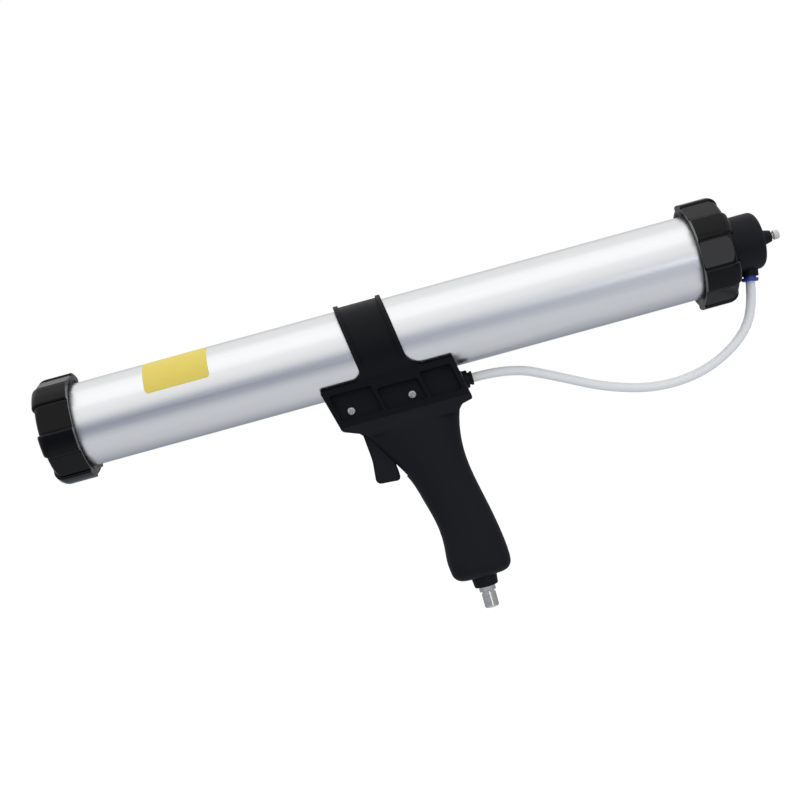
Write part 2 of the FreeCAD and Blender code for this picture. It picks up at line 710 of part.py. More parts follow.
def clamp_pockets():
    """Side-view outlines of the three cored pockets in each cheek."""
    top = FLANGE_TOP_Z - POCKET_TOP_RIM
    middle_top = -(BARREL_R + MIDDLE_POCKET_DROP)
    foot = SADDLE_Z + POCKET_FOOT_RIM
    half_rib = RIB_THICKNESS / 2
    front = [
        (flange_front_x(top) + POCKET_RIM, top),
        (rib_x(FRONT_RIB_X, top) - half_rib, top),
        (rib_x(FRONT_RIB_X, foot) - half_rib, foot),
        (flange_front_x(foot) + POCKET_RIM, foot),
    ]
    middle = [
        (rib_x(FRONT_RIB_X, middle_top) + half_rib, middle_top),
        (rib_x(BACK_RIB_X, middle_top) - half_rib, middle_top),
        (rib_x(BACK_RIB_X, foot) - half_rib, foot),
        (rib_x(FRONT_RIB_X, foot) + half_rib, foot),
    ]
    back = [
        (rib_x(BACK_RIB_X, top) + half_rib, top),
        (flange_back_x(top) - POCKET_RIM, top),
        (flange_back_x(foot) - POCKET_RIM, foot),
        (rib_x(BACK_RIB_X, foot) + half_rib, foot),
    ]
    return [[(x, z, POCKET_CORNER) for x, z in outline] for outline in (front, middle, back)]


def plan_outline(front, back, half_width, z):
    """Outline of the cheeks seen from above, with rounded corners, at height z."""
    wire = rounded_outline([
        (front, -half_width, FLANGE_EDGE),
        (back, -half_width, FLANGE_EDGE),
        (back, half_width, FLANGE_EDGE),
        (front, half_width, FLANGE_EDGE),
    ])
    wire.rotate(Vector(0, 0, 0), ALONG, 90)
    wire.translate(Vector(0, 0, z))
    return wire


def clamp_blank():
    """Band and cheeks, still solid: the side view crossed with the view along the barrel."""
    top = BAND_R + BAND_LIP_HEIGHT + OVERCUT
    side_view = slab([
        (band_x(BAND_FRONT_X, top), top, 0),
        (band_x(BAND_BACK_X, top), top, 0),
        (band_x(BAND_BACK_X, FLANGE_TOP_Z), FLANGE_TOP_Z, BAND_BACK_FILLET),
        (FLANGE_BACK_X, FLANGE_TOP_Z, FLANGE_CORNER),
        (flange_back_x(SADDLE_Z), SADDLE_Z, 0),
        (flange_front_x(SADDLE_Z), SADDLE_Z, 0),
        (FLANGE_FRONT_X, FLANGE_TOP_Z, FLANGE_CORNER),
        (band_x(BAND_FRONT_X, FLANGE_TOP_Z), FLANGE_TOP_Z, BAND_FRONT_FILLET),
    ], -FAR, FAR)
    cheeks = Part.makeLoft([
        plan_outline(FLANGE_FRONT_X, FLANGE_BACK_X, FLANGE_HALF_WIDTH, FLANGE_TOP_Z),
        plan_outline(flange_front_x(SADDLE_Z), flange_back_x(SADDLE_Z), FLANGE_FOOT_HALF_WIDTH, SADDLE_Z),
    ], True, True)
    end_view = rod(-FAR, FAR, BAND_R).fuse(cheeks)
    return side_view.common(end_view).removeSplitter()


def band_lip(edge_x, width):
    """Raised rim along one edge of the band."""
    top = BAND_R + BAND_LIP_HEIGHT + OVERCUT
    foot = -BAND_LIP_REACH
    strip = slab(sharp([
        (band_x(edge_x, top), top),
        (band_x(edge_x, top) + width, top),
        (band_x(edge_x, foot) + width, foot),
        (band_x(edge_x, foot), foot),
    ]), -FAR, FAR)
    return strip.common(rod(-FAR, FAR, BAND_R + BAND_LIP_HEIGHT))


def barrel_clamp():
    blank = clamp_blank()
    lips = [band_lip(BAND_FRONT_X, BAND_LIP_WIDTH), band_lip(BAND_BACK_X, -BAND_LIP_WIDTH)]
    cuts = [rod(-FAR, FAR, BARREL_R + CLAMP_GAP)]
    cuts.append(Part.makeBox(2 * FAR, 2 * TENON_HALF_WIDTH, FAR, Vector(-FAR, -TENON_HALF_WIDTH, -FAR)))
    for outline in clamp_pockets():
        cuts.append(slab(outline, POCKET_FLOOR, FAR))
        cuts.append(slab(outline, -FAR, -POCKET_FLOOR))
    for x in (FRONT_SCREW_X, BACK_SCREW_X):
        cuts.append(cross_rod(x, SCREW_Z, SCREW_DIAMETER / 2 + SEAT_GAP, -FAR, FAR))
    return blank.fuse(lips).cut(cuts).removeSplitter()


def clamp_screws():
    """Round-headed screws from the left cheek through to the nuts on the right."""
    end_y = POCKET_FLOOR + NUT_THICKNESS + SCREW_END_STANDS_OUT
    screws = []
    for x in (FRONT_SCREW_X, BACK_SCREW_X):
        shank = cross_rod(x, SCREW_Z, SCREW_DIAMETER / 2, -POCKET_FLOOR, end_y)
        head_y = -POCKET_FLOOR - SCREW_HEAD_HEIGHT
        head = cross_rod(x, SCREW_Z, SCREW_HEAD_DIAMETER / 2, head_y, -POCKET_FLOOR)
        rim = [edge for edge in head.Edges if edge.Closed and edge.CenterOfMass.y < -POCKET_FLOOR - 1e-3]
        head = head.makeFillet(SCREW_HEAD_ROUND, rim)
        screws.append(shank.fuse(head).removeSplitter())
    return Part.makeCompound(screws)


def clamp_nuts():
    nuts = []
    for x in (FRONT_SCREW_X, BACK_SCREW_X):
        nut = hexagon_prism(NUT_ACROSS_FLATS, NUT_THICKNESS, Vector(x, POCKET_FLOOR, SCREW_Z), ACROSS)
        nuts.append(nut.cut(cross_rod(x, SCREW_Z, SCREW_DIAMETER / 2 + SEAT_GAP, 0, FAR)))
    return Part.makeCompound(nuts)


def grip_section(z, front, back, half_width):
    """Smooth closed section of the grip: a rounded shape between an oval and a box."""
    points = []
    half_depth = (back - front) / 2
    for k in range(GRIP_SECTION_POINTS):
        angle = 2 * math.pi * k / GRIP_SECTION_POINTS
        along, across = math.cos(angle), math.sin(angle)
        x = math.copysign(abs(along) ** (2 / GRIP_SECTION_POWER), along) * half_depth
        y = math.copysign(abs(across) ** (2 / GRIP_SECTION_POWER), across) * half_width
        points.append(Vector((front + back) / 2 + x, y, z))
    curve = Part.BSplineCurve()
    curve.interpolate(points, PeriodicFlag=True)
    return Part.Wire(curve.toShape())


def grip_column(inset=0.0):
    """Loft through the grip's stations, drawn in by inset for the cavity."""
    sections = []
    for drop, front, back, half_width in GRIP_STATIONS:
        z = -(BARREL_R + drop)
        sections.append(grip_section(z, front + inset, back - inset, half_width - inset))
    return Part.makeLoft(sections, True, False)


def grip_head():
    """Shoulder under the clamp, with its nose over the trigger and its heel behind."""
    nose_x = flange_front_x(SADDLE_Z)
    heel_x = flange_back_x(SADDLE_Z)
    corners = [(nose_x, SADDLE_Z, 0), (heel_x, SADDLE_Z, 0)]
    corners += [(heel_x - inward, SADDLE_Z - drop, rounding) for inward, drop, rounding in HEAD_HEEL]
    corners += [(nose_x + inward, SADDLE_Z - drop, rounding) for inward, drop, rounding in HEAD_NOSE]
    head = slab(corners, -FLANGE_FOOT_HALF_WIDTH, FLANGE_FOOT_HALF_WIDTH)
    rims = []
    for edge in head.Edges:
        middle = edge.valueAt((edge.FirstParameter + edge.LastParameter) / 2)
        if abs(abs(middle.y) - FLANGE_FOOT_HALF_WIDTH) < 1e-6 and middle.z < SADDLE_Z - 1e-3:
            rims.append(edge)
    return head.makeFillet(HEAD_EDGE, rims)


def grip_tenon():
    """Tongue between the clamp's cheeks, hollowed to the barrel's underside."""
    tongue = slab(sharp([
        (flange_front_x(FLANGE_TOP_Z) + FLANGE_CORNER, FLANGE_TOP_Z),
        (flange_front_x(SADDLE_Z) + FLANGE_CORNER, SADDLE_Z - OVERCUT),
        (flange_back_x(SADDLE_Z) - FLANGE_CORNER, SADDLE_Z - OVERCUT),
        (flange_back_x(FLANGE_TOP_Z) - FLANGE_CORNER, FLANGE_TOP_Z),
    ]), -TENON_HALF_WIDTH, TENON_HALF_WIDTH)
    return tongue.cut(rod(-FAR, FAR, BARREL_R + CLAMP_GAP))


def trigger_back():
    """Back edge of the trigger as (from the pivot, drop, rounding) corners."""
    return [
        (TRIGGER_DEPTH - TRIGGER_SHOULDER_RUN, TRIGGER_SHOULDER_DROP, TRIGGER_SHOULDER_ROUND),
        (TRIGGER_DEPTH, TRIGGER_NECK_DROP, TRIGGER_NECK_ROUND),
        (TRIGGER_DEPTH, TRIGGER_LENGTH - TRIGGER_STEP_HEIGHT, 0),
        (TRIGGER_DEPTH + TRIGGER_TIP_FLARE, TRIGGER_LENGTH - TRIGGER_TIP_HEIGHT, 0),
        (TRIGGER_DEPTH + TRIGGER_TIP_FLARE, TRIGGER_LENGTH, TRIGGER_TIP_ROUND),
    ]


def trigger_front():
    """Front edge of the trigger, hollowed for a finger, from the tip up to the boss."""
    front = TRIGGER_FRONT_SET_BACK
    return [
        (front, TRIGGER_LENGTH - TRIGGER_TIP_SLOPE, TRIGGER_TOE_ROUND),
        (front + TRIGGER_FINGER_HOLLOW, TRIGGER_LENGTH - TRIGGER_FINGER_HEIGHT, TRIGGER_FINGER_ROUND),
        (front, TRIGGER_FRONT_DROP, 0),
        (-TRIGGER_BOSS_RADIUS / 2, TRIGGER_BOSS_RADIUS / 2, 0),
        (0, -TRIGGER_BOSS_RADIUS + SHAFT_GAP, 0),
    ]


def trigger_slot():
    """Space for the trigger's boss and for the path that its back edge swings through."""
    half = TRIGGER_HALF_WIDTH + TRIGGER_SIDE_GAP
    boss = TRIGGER_BOSS_RADIUS + TRIGGER_SIDE_GAP
    swing = math.radians(TRIGGER_SWING)
    corners = [(-boss, boss), (boss, boss)]
    for x, drop, _ in trigger_back():
        swung_x = x * math.cos(swing) + drop * math.sin(swing)
        swung_z = x * math.sin(swing) - drop * math.cos(swing)
        clear = 1 + TRIGGER_SLOT_GAP / math.hypot(swung_x, swung_z)
        corners.append((swung_x * clear, swung_z * clear))
    corners += [(-boss, -TRIGGER_LENGTH - TRIGGER_SLOT_GAP), (-boss, -boss)]
    return slab(sharp([(TRIGGER_PIVOT_X + x, PIVOT_Z + z) for x, z in corners]), -half, half)


def trigger():
    px, pz = TRIGGER_PIVOT_X, PIVOT_Z
    corners = trigger_back() + trigger_front()
    blade = slab([(px + x, pz - drop, rounding) for x, drop, rounding in corners],
                 -TRIGGER_HALF_WIDTH, TRIGGER_HALF_WIDTH)
    finger_edges = []
    for edge in blade.Edges:
        middle = edge.valueAt((edge.FirstParameter + edge.LastParameter) / 2)
        on_side = abs(abs(middle.y) - TRIGGER_HALF_WIDTH) < 1e-6
        below_boss = middle.z < pz - TRIGGER_FRONT_DROP
        on_front = middle.x < px + TRIGGER_FRONT_SET_BACK + TRIGGER_FINGER_HOLLOW
        on_tip = middle.z < pz - TRIGGER_LENGTH + TRIGGER_TIP_HEIGHT
        if on_side and below_boss and (on_front or on_tip):
            finger_edges.append(edge)
    blade = blade.makeFillet(TRIGGER_SOFT_EDGE, finger_edges)
    boss = cross_rod(px, pz, TRIGGER_BOSS_RADIUS, -TRIGGER_HALF_WIDTH, TRIGGER_HALF_WIDTH)
    hole = cross_rod(px, pz, PIVOT_PIN_DIAMETER / 2 + SHAFT_GAP, -FAR, FAR)
    return blade.fuse(boss).cut(hole).removeSplitter()


def trigger_pin():
    return cross_rod(TRIGGER_PIVOT_X, PIVOT_Z, PIVOT_PIN_DIAMETER / 2,
                     -PIVOT_PIN_HALF_LENGTH, PIVOT_PIN_HALF_LENGTH)


def valve_envelope(gap=0.0):
    """Outside of the valve casting; gap gives the seat that it lies in."""
    barrel = rod(VALVE_FRONT_X - gap, VALVE_BACK_X + gap, VALVE_DIAMETER / 2 + gap, VALVE_Z)
    duct = post(VALVE_Z, OUTLET_Z, OUTLET_DUCT_DIAMETER / 2 + gap, OUTLET_DUCT_X)
    socket_x = OUTLET_DUCT_X - OUTLET_DUCT_DIAMETER / 2 - OUTLET_DUCT_SHOULDER
    socket = rod(socket_x - gap, OUTLET_FACE_X, OUTLET_SOCKET_DIAMETER / 2 + gap, OUTLET_Z)
    boss = post(VALVE_Z - INLET_BOSS_DROP - gap, VALVE_Z, INLET_BOSS_DIAMETER / 2 + gap, INLET_X)
    return barrel.fuse([duct, socket, boss])


def valve_body():
    stem_r = VALVE_STEM_DIAMETER / 2 + SHAFT_GAP
    chamber_x = VALVE_FRONT_X + VALVE_GLAND_LENGTH
    chamber_r = VALVE_CHAMBER_DIAMETER / 2
    seal_x = VALVE_FRONT_X + STEM_SEAL_FROM_FRONT
    seat_end = VALVE_SEAT_X + VALVE_SEAT_THICKNESS
    cuts = [
        rod(VALVE_FRONT_X, chamber_x, stem_r, VALVE_Z),
        rod(seal_x, seal_x + STEM_SEAL_WIDTH, stem_r + STEM_SEAL_WIDTH, VALVE_Z),
        rod(chamber_x, VALVE_SEAT_X, chamber_r, VALVE_Z),
        rod(VALVE_SEAT_X, seat_end, VALVE_SEAT_DIAMETER / 2, VALVE_Z),
        rod(seat_end, VALVE_BACK_X, POPPET_DIAMETER / 2 + RUNNING_GAP, VALVE_Z),
        post(VALVE_Z, OUTLET_Z, OUTLET_BORE_DIAMETER / 2, OUTLET_DUCT_X),
        rod(OUTLET_DUCT_X, OUTLET_FACE_X, HOSE_BORE / 2, OUTLET_Z),
        rod(OUTLET_FACE_X - OUTLET_SHANK_LENGTH - SEAT_GAP, OUTLET_FACE_X,
            OUTLET_SHANK_DIAMETER / 2 + SEAT_GAP, OUTLET_Z),
        post(VALVE_Z - INLET_BOSS_DROP, VALVE_Z, PIPE_BORE / 2, INLET_X),
        post(VALVE_Z - INLET_BOSS_DROP, VALVE_Z - INLET_BOSS_DROP + PIPE_SOCKET_DEPTH,
             PIPE_DIAMETER / 2 + SEAT_GAP, INLET_X),
    ]
    return valve_envelope().cut(cuts).removeSplitter()


def valve_end_plug():
    radius = POPPET_DIAMETER / 2 + RUNNING_GAP - SEAT_GAP
    return rod(VALVE_BACK_X - VALVE_PLUG_LENGTH, VALVE_BACK_X, radius, VALVE_Z)


def poppet_x():
    """Where the poppet's sealing face rests on the valve seat."""
    return VALVE_SEAT_X + VALVE_SEAT_THICKNESS


def valve_stem():
    """Push button, rod and poppet in one turned piece."""
    button_x = TRIGGER_BACK_X + VALVE_BUTTON_GAP
    face_x = poppet_x() + POPPET_FACE_THICKNESS
    button = rod(button_x, button_x + VALVE_BUTTON_LENGTH, VALVE_BUTTON_DIAMETER / 2, VALVE_Z)
    shaft = rod(button_x, face_x, VALVE_STEM_DIAMETER / 2, VALVE_Z)
    head = rod(face_x, face_x + POPPET_THICKNESS, POPPET_DIAMETER / 2, VALVE_Z)
    return button.fuse([shaft, head]).removeSplitter()


def poppet_face():
    """Soft sealing disc on the front of the poppet."""
    disc = rod(poppet_x(), poppet_x() + POPPET_FACE_THICKNESS, POPPET_DIAMETER / 2, VALVE_Z)
    return disc.cut(rod(-FAR, FAR, VALVE_STEM_DIAMETER / 2 + SEAT_GAP, VALVE_Z))


def stem_seal():
    wire_r = STEM_SEAL_WIDTH / 2 - SEAT_GAP
    x = VALVE_FRONT_X + STEM_SEAL_FROM_FRONT + STEM_SEAL_WIDTH / 2
    ring_r = VALVE_STEM_DIAMETER / 2 + SHAFT_GAP + wire_r
    return Part.makeTorus(ring_r, wire_r, Vector(x, 0, VALVE_Z), ALONG)


def valve_spring():
    low = poppet_x() + POPPET_FACE_THICKNESS + POPPET_THICKNESS + SEAT_GAP
    high = VALVE_BACK_X - VALVE_PLUG_LENGTH - SEAT_GAP
    return coil_spring(low, high, POPPET_DIAMETER / 3, VALVE_SPRING_WIRE, VALVE_SPRING_TURNS, VALVE_Z)


def outlet_fitting():
    """Push-in fitting in the back of the handle, screwed into the valve casting."""
    shank = rod(OUTLET_FACE_X - OUTLET_SHANK_LENGTH, OUTLET_FACE_X, OUTLET_SHANK_DIAMETER / 2, OUTLET_Z)
    body = rod(OUTLET_FACE_X, OUTLET_FACE_X + OUTLET_BODY_LENGTH, OUTLET_BODY_DIAMETER / 2, OUTLET_Z)
    end_x = OUTLET_FACE_X + OUTLET_BODY_LENGTH
    rim = [edge for edge in body.Edges if edge.Closed and edge.CenterOfMass.x > end_x - 1e-3]
    body = body.makeFillet(OUTLET_BODY_ROUND, rim)
    socket_x = end_x - COLLET_SLEEVE_LENGTH - RUNNING_GAP
    socket = rod(socket_x, end_x, COLLET_SLEEVE_DIAMETER / 2 + SHAFT_GAP, OUTLET_Z)
    passage = rod(OUTLET_FACE_X - FAR, end_x, HOSE_BORE / 2, OUTLET_Z)
    return body.fuse(shank).cut([socket, passage])


def outlet_collet():
    flange_x = HOSE_START_X - OUTLET_COLLET_THICKNESS
    flange = rod(flange_x, HOSE_START_X, OUTLET_COLLET_DIAMETER / 2, OUTLET_Z)
    sleeve = rod(flange_x - COLLET_SLEEVE_LENGTH, flange_x, COLLET_SLEEVE_DIAMETER / 2, OUTLET_Z)
    bore = rod(OUTLET_FACE_X - FAR, HOSE_START_X, HOSE_DIAMETER / 2 + HOSE_ENTRY_GAP, OUTLET_Z)
    return flange.fuse(sleeve).cut(bore)


def inlet_spigot_r():
    return INLET_COLLAR_DIAMETER / 2 - INLET_COLLAR_WALL - SEAT_GAP


def grip_cavity():
    """Hollow of the lower grip, in rooms between the ribs that steady the air pipe."""
    top = -(BARREL_R + GRIP_CAVITY_TOP_DROP)
    foot = -(BARREL_R + GRIP_CAVITY_FOOT_DROP)
    room = grip_column(GRIP_WALL).common(Part.makeBox(FAR, FAR, top - foot, Vector(-FAR / 2, -FAR / 2, foot)))
    ribs = []
    for drop in GRIP_RIB_DROPS:
        corner = Vector(-FAR / 2, -FAR / 2, -(BARREL_R + drop) - GRIP_RIB_THICKNESS / 2)
        ribs.append(Part.makeBox(FAR, FAR, GRIP_RIB_THICKNESS, corner))
    return room.cut(ribs)


def grip_seam():
    """Groove along the line where the two halves meet, below the shoulder."""
    top = SADDLE_Z - HEAD_NOSE[0][1]
    corner = Vector(-FAR / 2, -GRIP_SEAM_WIDTH / 2, GRIP_FOOT_Z)
    return Part.makeBox(FAR, GRIP_SEAM_WIDTH, top - GRIP_FOOT_Z, corner).cut(grip_column(GRIP_SEAM_DEPTH))


def nipple_top_z():
    return GRIP_FOOT_Z + INLET_SHANK_RISE


def grip_body():
    """Both halves of the grip in one, with the seats of everything that they hold."""
    column = grip_column()
    foot = [edge for edge in column.Edges if abs(edge.CenterOfMass.z - GRIP_FOOT_Z) < 1e-3]
    column = column.makeFillet(GRIP_END_ROUND, foot)
    spigot_foot = GRIP_FOOT_Z - INLET_COLLAR_LENGTH + INLET_COLLAR_WALL
    spigot = post(spigot_foot, GRIP_FOOT_Z + GRIP_WALL, inlet_spigot_r(), INLET_X)
    washer_top = nipple_top_z() + INLET_WASHER_THICKNESS
    button_r = VALVE_BUTTON_DIAMETER / 2 + RUNNING_GAP
    pin_end = PIVOT_PIN_HALF_LENGTH + SEAT_GAP
    cuts = [
        grip_cavity(),
        trigger_slot(),
        valve_envelope(SEAT_GAP),
        rod(TRIGGER_BACK_X, VALVE_FRONT_X, button_r, VALVE_Z),
        post(nipple_top_z(), VALVE_Z, PIPE_DIAMETER / 2 + SEAT_GAP, INLET_X),
        post(spigot_foot, washer_top, INLET_SHANK_DIAMETER / 2 + SEAT_GAP, INLET_X),
        cross_rod(TRIGGER_PIVOT_X, PIVOT_Z, PIVOT_PIN_DIAMETER / 2 + SEAT_GAP, -pin_end, pin_end),
    ]
    for x in (FRONT_SCREW_X, BACK_SCREW_X):
        cuts.append(cross_rod(x, SCREW_Z, SCREW_DIAMETER / 2 + SEAT_GAP, -FAR, FAR))
    return column.fuse([grip_head(), grip_tenon(), spigot]).cut(cuts).removeSplitter()


def grip_half(body, side):
    """Half of the grip on the side of -Y or +Y."""
    low = -FAR if side < 0 else 0.0
    half = body.common(Part.makeBox(2 * FAR, FAR, 2 * FAR, Vector(-FAR, low, -FAR)))
    return half.cut(grip_seam())


def inlet_collar():
    """Ring that holds the two halves together round the inlet."""
    top_r = INLET_COLLAR_DIAMETER / 2
    foot_z = GRIP_FOOT_Z - INLET_COLLAR_LENGTH
    floor_z = foot_z + INLET_COLLAR_WALL
    bore_r = top_r - INLET_COLLAR_WALL
    hole_r = INLET_SHANK_DIAMETER / 2 + SEAT_GAP
    return turned_upright([
        (bore_r, GRIP_FOOT_Z, 0),
        (top_r, GRIP_FOOT_Z, 0),
        (INLET_COLLAR_FOOT_DIAMETER / 2, foot_z, INLET_COLLAR_WALL / 2),
        (hole_r, foot_z, 0),
        (hole_r, floor_z, 0),
        (bore_r, floor_z, 0),
    ], INLET_X)


def inlet_nipple():
    """Air plug: threaded shank, spanner flats, a groove and the plain end of the plug."""
    hex_top = GRIP_FOOT_Z - INLET_COLLAR_LENGTH
    hex_foot = hex_top - INLET_HEX_LENGTH
    groove_foot = hex_foot - INLET_GROOVE_LENGTH
    plug_foot = groove_foot - INLET_PLUG_LENGTH
    flats = hexagon_prism(INLET_HEX_ACROSS_FLATS, INLET_HEX_LENGTH, Vector(INLET_X, 0, hex_foot), UP)
    shank = post(hex_top, nipple_top_z(), INLET_SHANK_DIAMETER / 2, INLET_X)
    neck = post(groove_foot, hex_foot, INLET_GROOVE_DIAMETER / 2, INLET_X)
    plug = turned_upright([
        (0, groove_foot, 0),
        (INLET_PLUG_DIAMETER / 2, groove_foot, 0),
        (INLET_PLUG_DIAMETER / 2, plug_foot, INLET_PLUG_ROUND),
        (0, plug_foot, 0),
    ], INLET_X)
    bore = post(plug_foot - OVERCUT, nipple_top_z() + OVERCUT, INLET_BORE_DIAMETER / 2, INLET_X)
    return flats.fuse([shank, neck, plug]).cut(bore).removeSplitter()


def inlet_washer():
    foot = nipple_top_z()
    ring = post(foot, foot + INLET_WASHER_THICKNESS, INLET_SHANK_DIAMETER / 2, INLET_X)
    return ring.cut(post(foot, foot + INLET_WASHER_THICKNESS, INLET_BORE_DIAMETER / 2, INLET_X))


def air_pipe():
    foot = nipple_top_z() + INLET_WASHER_THICKNESS
    top = VALVE_Z - INLET_BOSS_DROP + PIPE_SOCKET_DEPTH
    return post(foot, top, PIPE_DIAMETER / 2, INLET_X).cut(post(foot, top, PIPE_BORE / 2, INLET_X))


def hose_points():
    start = Vector(HOSE_START_X, 0, OUTLET_Z)
    end = hose_end()
    route = [Vector(x, 0, z) for x, z in HOSE_ROUTE]
    return [start, start + ALONG * HOSE_FIRST_RUN] + route + [end + port_axis() * HOSE_LAST_RUN, end]


def hose_path(points):
    """Straight runs joined by tangent arcs, each as large as its runs allow."""
    edges = []
    radii = []
    here = points[0]
    for i in range(1, len(points) - 1):
        back = points[i - 1] - points[i]
        ahead = points[i + 1] - points[i]
        reach = HOSE_ARC_SHARE * min(back.Length, ahead.Length)
        half_turn = (math.pi - back.getAngle(ahead)) / 2
        radius = reach / math.tan(half_turn)
        radii.append(round(radius, 1))
        start = points[i] + back.normalize() * reach
        end = points[i] + ahead.normalize() * reach
        inward = (back + ahead).normalize()
        middle = points[i] + inward * (radius / math.cos(half_turn) - radius)
        edges.append(Part.LineSegment(here, start).toShape())
        edges.append(Part.Arc(start, middle, end).toShape())
        here = end
    edges.append(Part.LineSegment(here, points[-1]).toShape())
    print("hose bend radii", radii)
    return Part.Wire(edges)


def air_hose():
    path = hose_path(hose_points())
    skins = []
    for diameter in (HOSE_DIAMETER, HOSE_BORE):
        section = Part.Wire(Part.makeCircle(diameter / 2, path.Vertexes[0].Point, ALONG))
        skins.append(path.makePipeShell([section], True, False))
    hose = skins[0].cut(skins[1])
    wall_area = math.pi * (HOSE_DIAMETER ** 2 - HOSE_BORE ** 2) / 4
    print("hose length", round(path.Length, 1), "volume over section times length",
          round(hose.Volume / (wall_area * path.Length), 4))
    return hose


def all_pieces():
    """Every node of the tool by name."""
    grip = grip_body()
    return {
        "barrel_tube": barrel_tube(),
        "front_ring_nut": front_ring_nut(),
        "front_seal_washer": front_seal_washer(),
        "rear_ring_nut": rear_ring_nut(),
        "rear_plug": rear_plug(),
        "rear_oring": rear_oring(),
        "rear_port_fitting": rear_port_fitting(),
        "rear_collet": rear_collet(),
        "bleed_collar": bleed_collar(),
        "bleed_pin": bleed_pin(),
        "bleed_seal": bleed_seal(),
        "bleed_spring": bleed_spring(),
        "piston": piston(),
        "piston_seal": piston_seal(),
        "barrel_clamp": barrel_clamp(),
        "clamp_screws": clamp_screws(),
        "clamp_nuts": clamp_nuts(),
        "grip_left_half": grip_half(grip, -1),
        "grip_right_half": grip_half(grip, 1),
        "trigger": trigger(),
        "trigger_pin": trigger_pin(),
        "valve_body": valve_body(),
        "valve_end_plug": valve_end_plug(),
        "valve_stem": valve_stem(),
        "poppet_face": poppet_face(),
        "stem_seal": stem_seal(),
        "valve_spring": valve_spring(),
        "outlet_fitting": outlet_fitting(),
        "outlet_collet": outlet_collet(),
        "inlet_collar": inlet_collar(),
        "inlet_nipple": inlet_nipple(),
        "inlet_washer": inlet_washer(),
        "air_pipe": air_pipe(),
        "air_hose": air_hose(),
    }


def export(pieces):
    """Write each piece, moved so that the origin is where a hand holds the grip."""
    os.makedirs("parts", exist_ok=True)
    to_grip = Vector(-HOLD_X, 0, BARREL_R + HOLD_DROP)
    for name, shape in pieces.items():
        placed = shape.copy()
        placed.translate(to_grip)
        solids = placed.Solids
        kept = solids[0] if len(solids) == 1 else Part.makeCompound(solids)
        kept.exportStep("parts/" + name + ".step")
        state = "valid" if kept.isValid() else "INVALID"
        print(name, len(solids), "solid", round(shape.Volume / 1000, 2), "cm3", state)


export(all_pieces())
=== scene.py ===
import json
import math

import bmesh
import bpy
from bpy.props import FloatProperty, FloatVectorProperty, PointerProperty
from mathutils import Matrix, Vector


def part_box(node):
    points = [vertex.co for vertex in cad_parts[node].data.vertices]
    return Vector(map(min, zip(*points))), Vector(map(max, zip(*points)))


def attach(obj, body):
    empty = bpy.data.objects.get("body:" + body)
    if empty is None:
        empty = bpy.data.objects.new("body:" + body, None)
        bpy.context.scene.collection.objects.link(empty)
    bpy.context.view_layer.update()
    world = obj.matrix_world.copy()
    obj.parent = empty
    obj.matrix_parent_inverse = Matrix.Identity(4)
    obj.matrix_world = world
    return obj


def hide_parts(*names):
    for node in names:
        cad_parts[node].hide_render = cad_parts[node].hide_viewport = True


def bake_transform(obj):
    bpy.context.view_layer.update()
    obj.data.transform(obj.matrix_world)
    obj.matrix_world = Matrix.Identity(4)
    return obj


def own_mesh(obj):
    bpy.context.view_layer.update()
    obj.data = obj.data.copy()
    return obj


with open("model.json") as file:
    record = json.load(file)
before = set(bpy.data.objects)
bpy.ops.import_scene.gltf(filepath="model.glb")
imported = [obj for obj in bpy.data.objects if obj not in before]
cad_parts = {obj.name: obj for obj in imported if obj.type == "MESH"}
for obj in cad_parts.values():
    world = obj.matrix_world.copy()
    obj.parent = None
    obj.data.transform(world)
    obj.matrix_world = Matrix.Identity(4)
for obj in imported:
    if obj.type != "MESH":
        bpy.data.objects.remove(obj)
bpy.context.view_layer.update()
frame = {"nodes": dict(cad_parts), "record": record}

bl_info = {
    "name": "Air caulking gun",
    "version": (1, 0, 0),
    "blender": (4, 5, 0),
    "location": "View3D > Sidebar > Caulking gun",
    "description": "Dresses the solids of an air-driven caulking gun and sets up its studio",
    "category": "Object",
}

# The barrel's axis lies along X, with the muzzle towards -X and the gun's left side towards -Y.
BARREL_LOW, BARREL_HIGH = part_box("barrel_tube")
BARREL_RADIUS = (BARREL_HIGH.z - BARREL_LOW.z) / 2
AXIS_Z = (BARREL_HIGH.z + BARREL_LOW.z) / 2

# The hose's route from the handle to the rear port, as (x, z) in metres
HOSE_ROUTE = [
    (0.0313, 0.0732),
    (0.0559, 0.0732),
    (0.0834, 0.0598),
    (0.1114, 0.0449),
    (0.1430, 0.0355),
    (0.1750, 0.0372),
    (0.2020, 0.0504),
    (0.2155, 0.0677),
    (0.2186, 0.0854),
]

# How finely round shapes are divided
HOSE_SPAN_STEPS = 16
HOSE_ROUND_STEPS = 8
STICKER_STRIPS = 24
ROUNDING_STEPS = 6
SHANK_END_STEPS = 2
SCREW_SIDES = 48
CHAMFER_SIDES = 60
BORE_SIDES = 40
WIRE_SIDES = 12
SPRING_TURN_STEPS = 32
THREAD_TURN_STEPS = 64

# Angles in degrees above which an edge stays sharp, on pieces with corners and on those that are round all over
SHARP_ANGLE = 30
ROUND_SHARP_ANGLE = 40

# A face counts as a top or a foot from this share of its normal along Z, and an edge counts as found within this share
# of the size of the shape that it is on
UPRIGHT = 0.9
CLOSE = 0.1

# How far the screws' cross recesses are turned, front screw first
SCREW_TURNS = (math.radians(18), math.radians(63))
# The cross that cuts a recess: its top over the height of the head, and the width of its foot over that of its top
CROSS_TOP = 1.2
CROSS_TAPER = 0.7
# Bevel on the end of a screw's shank, over its diameter
SHANK_BEVEL = 0.125
NUT_SIDES = 6
# The tool that turns a nut's chamfers is a little wider than the nut, so that no faces of theirs coincide.
CHAMFER_TOOL_ROOM = 1.002
# Foot of a thread's ridge over the pitch, and its crest over its foot
RIDGE_FOOT = 0.8
RIDGE_CREST = 0.3
# The sticker starts this many barrel radii from the axis and is pressed on from there.
STICKER_APPROACH = 1.5

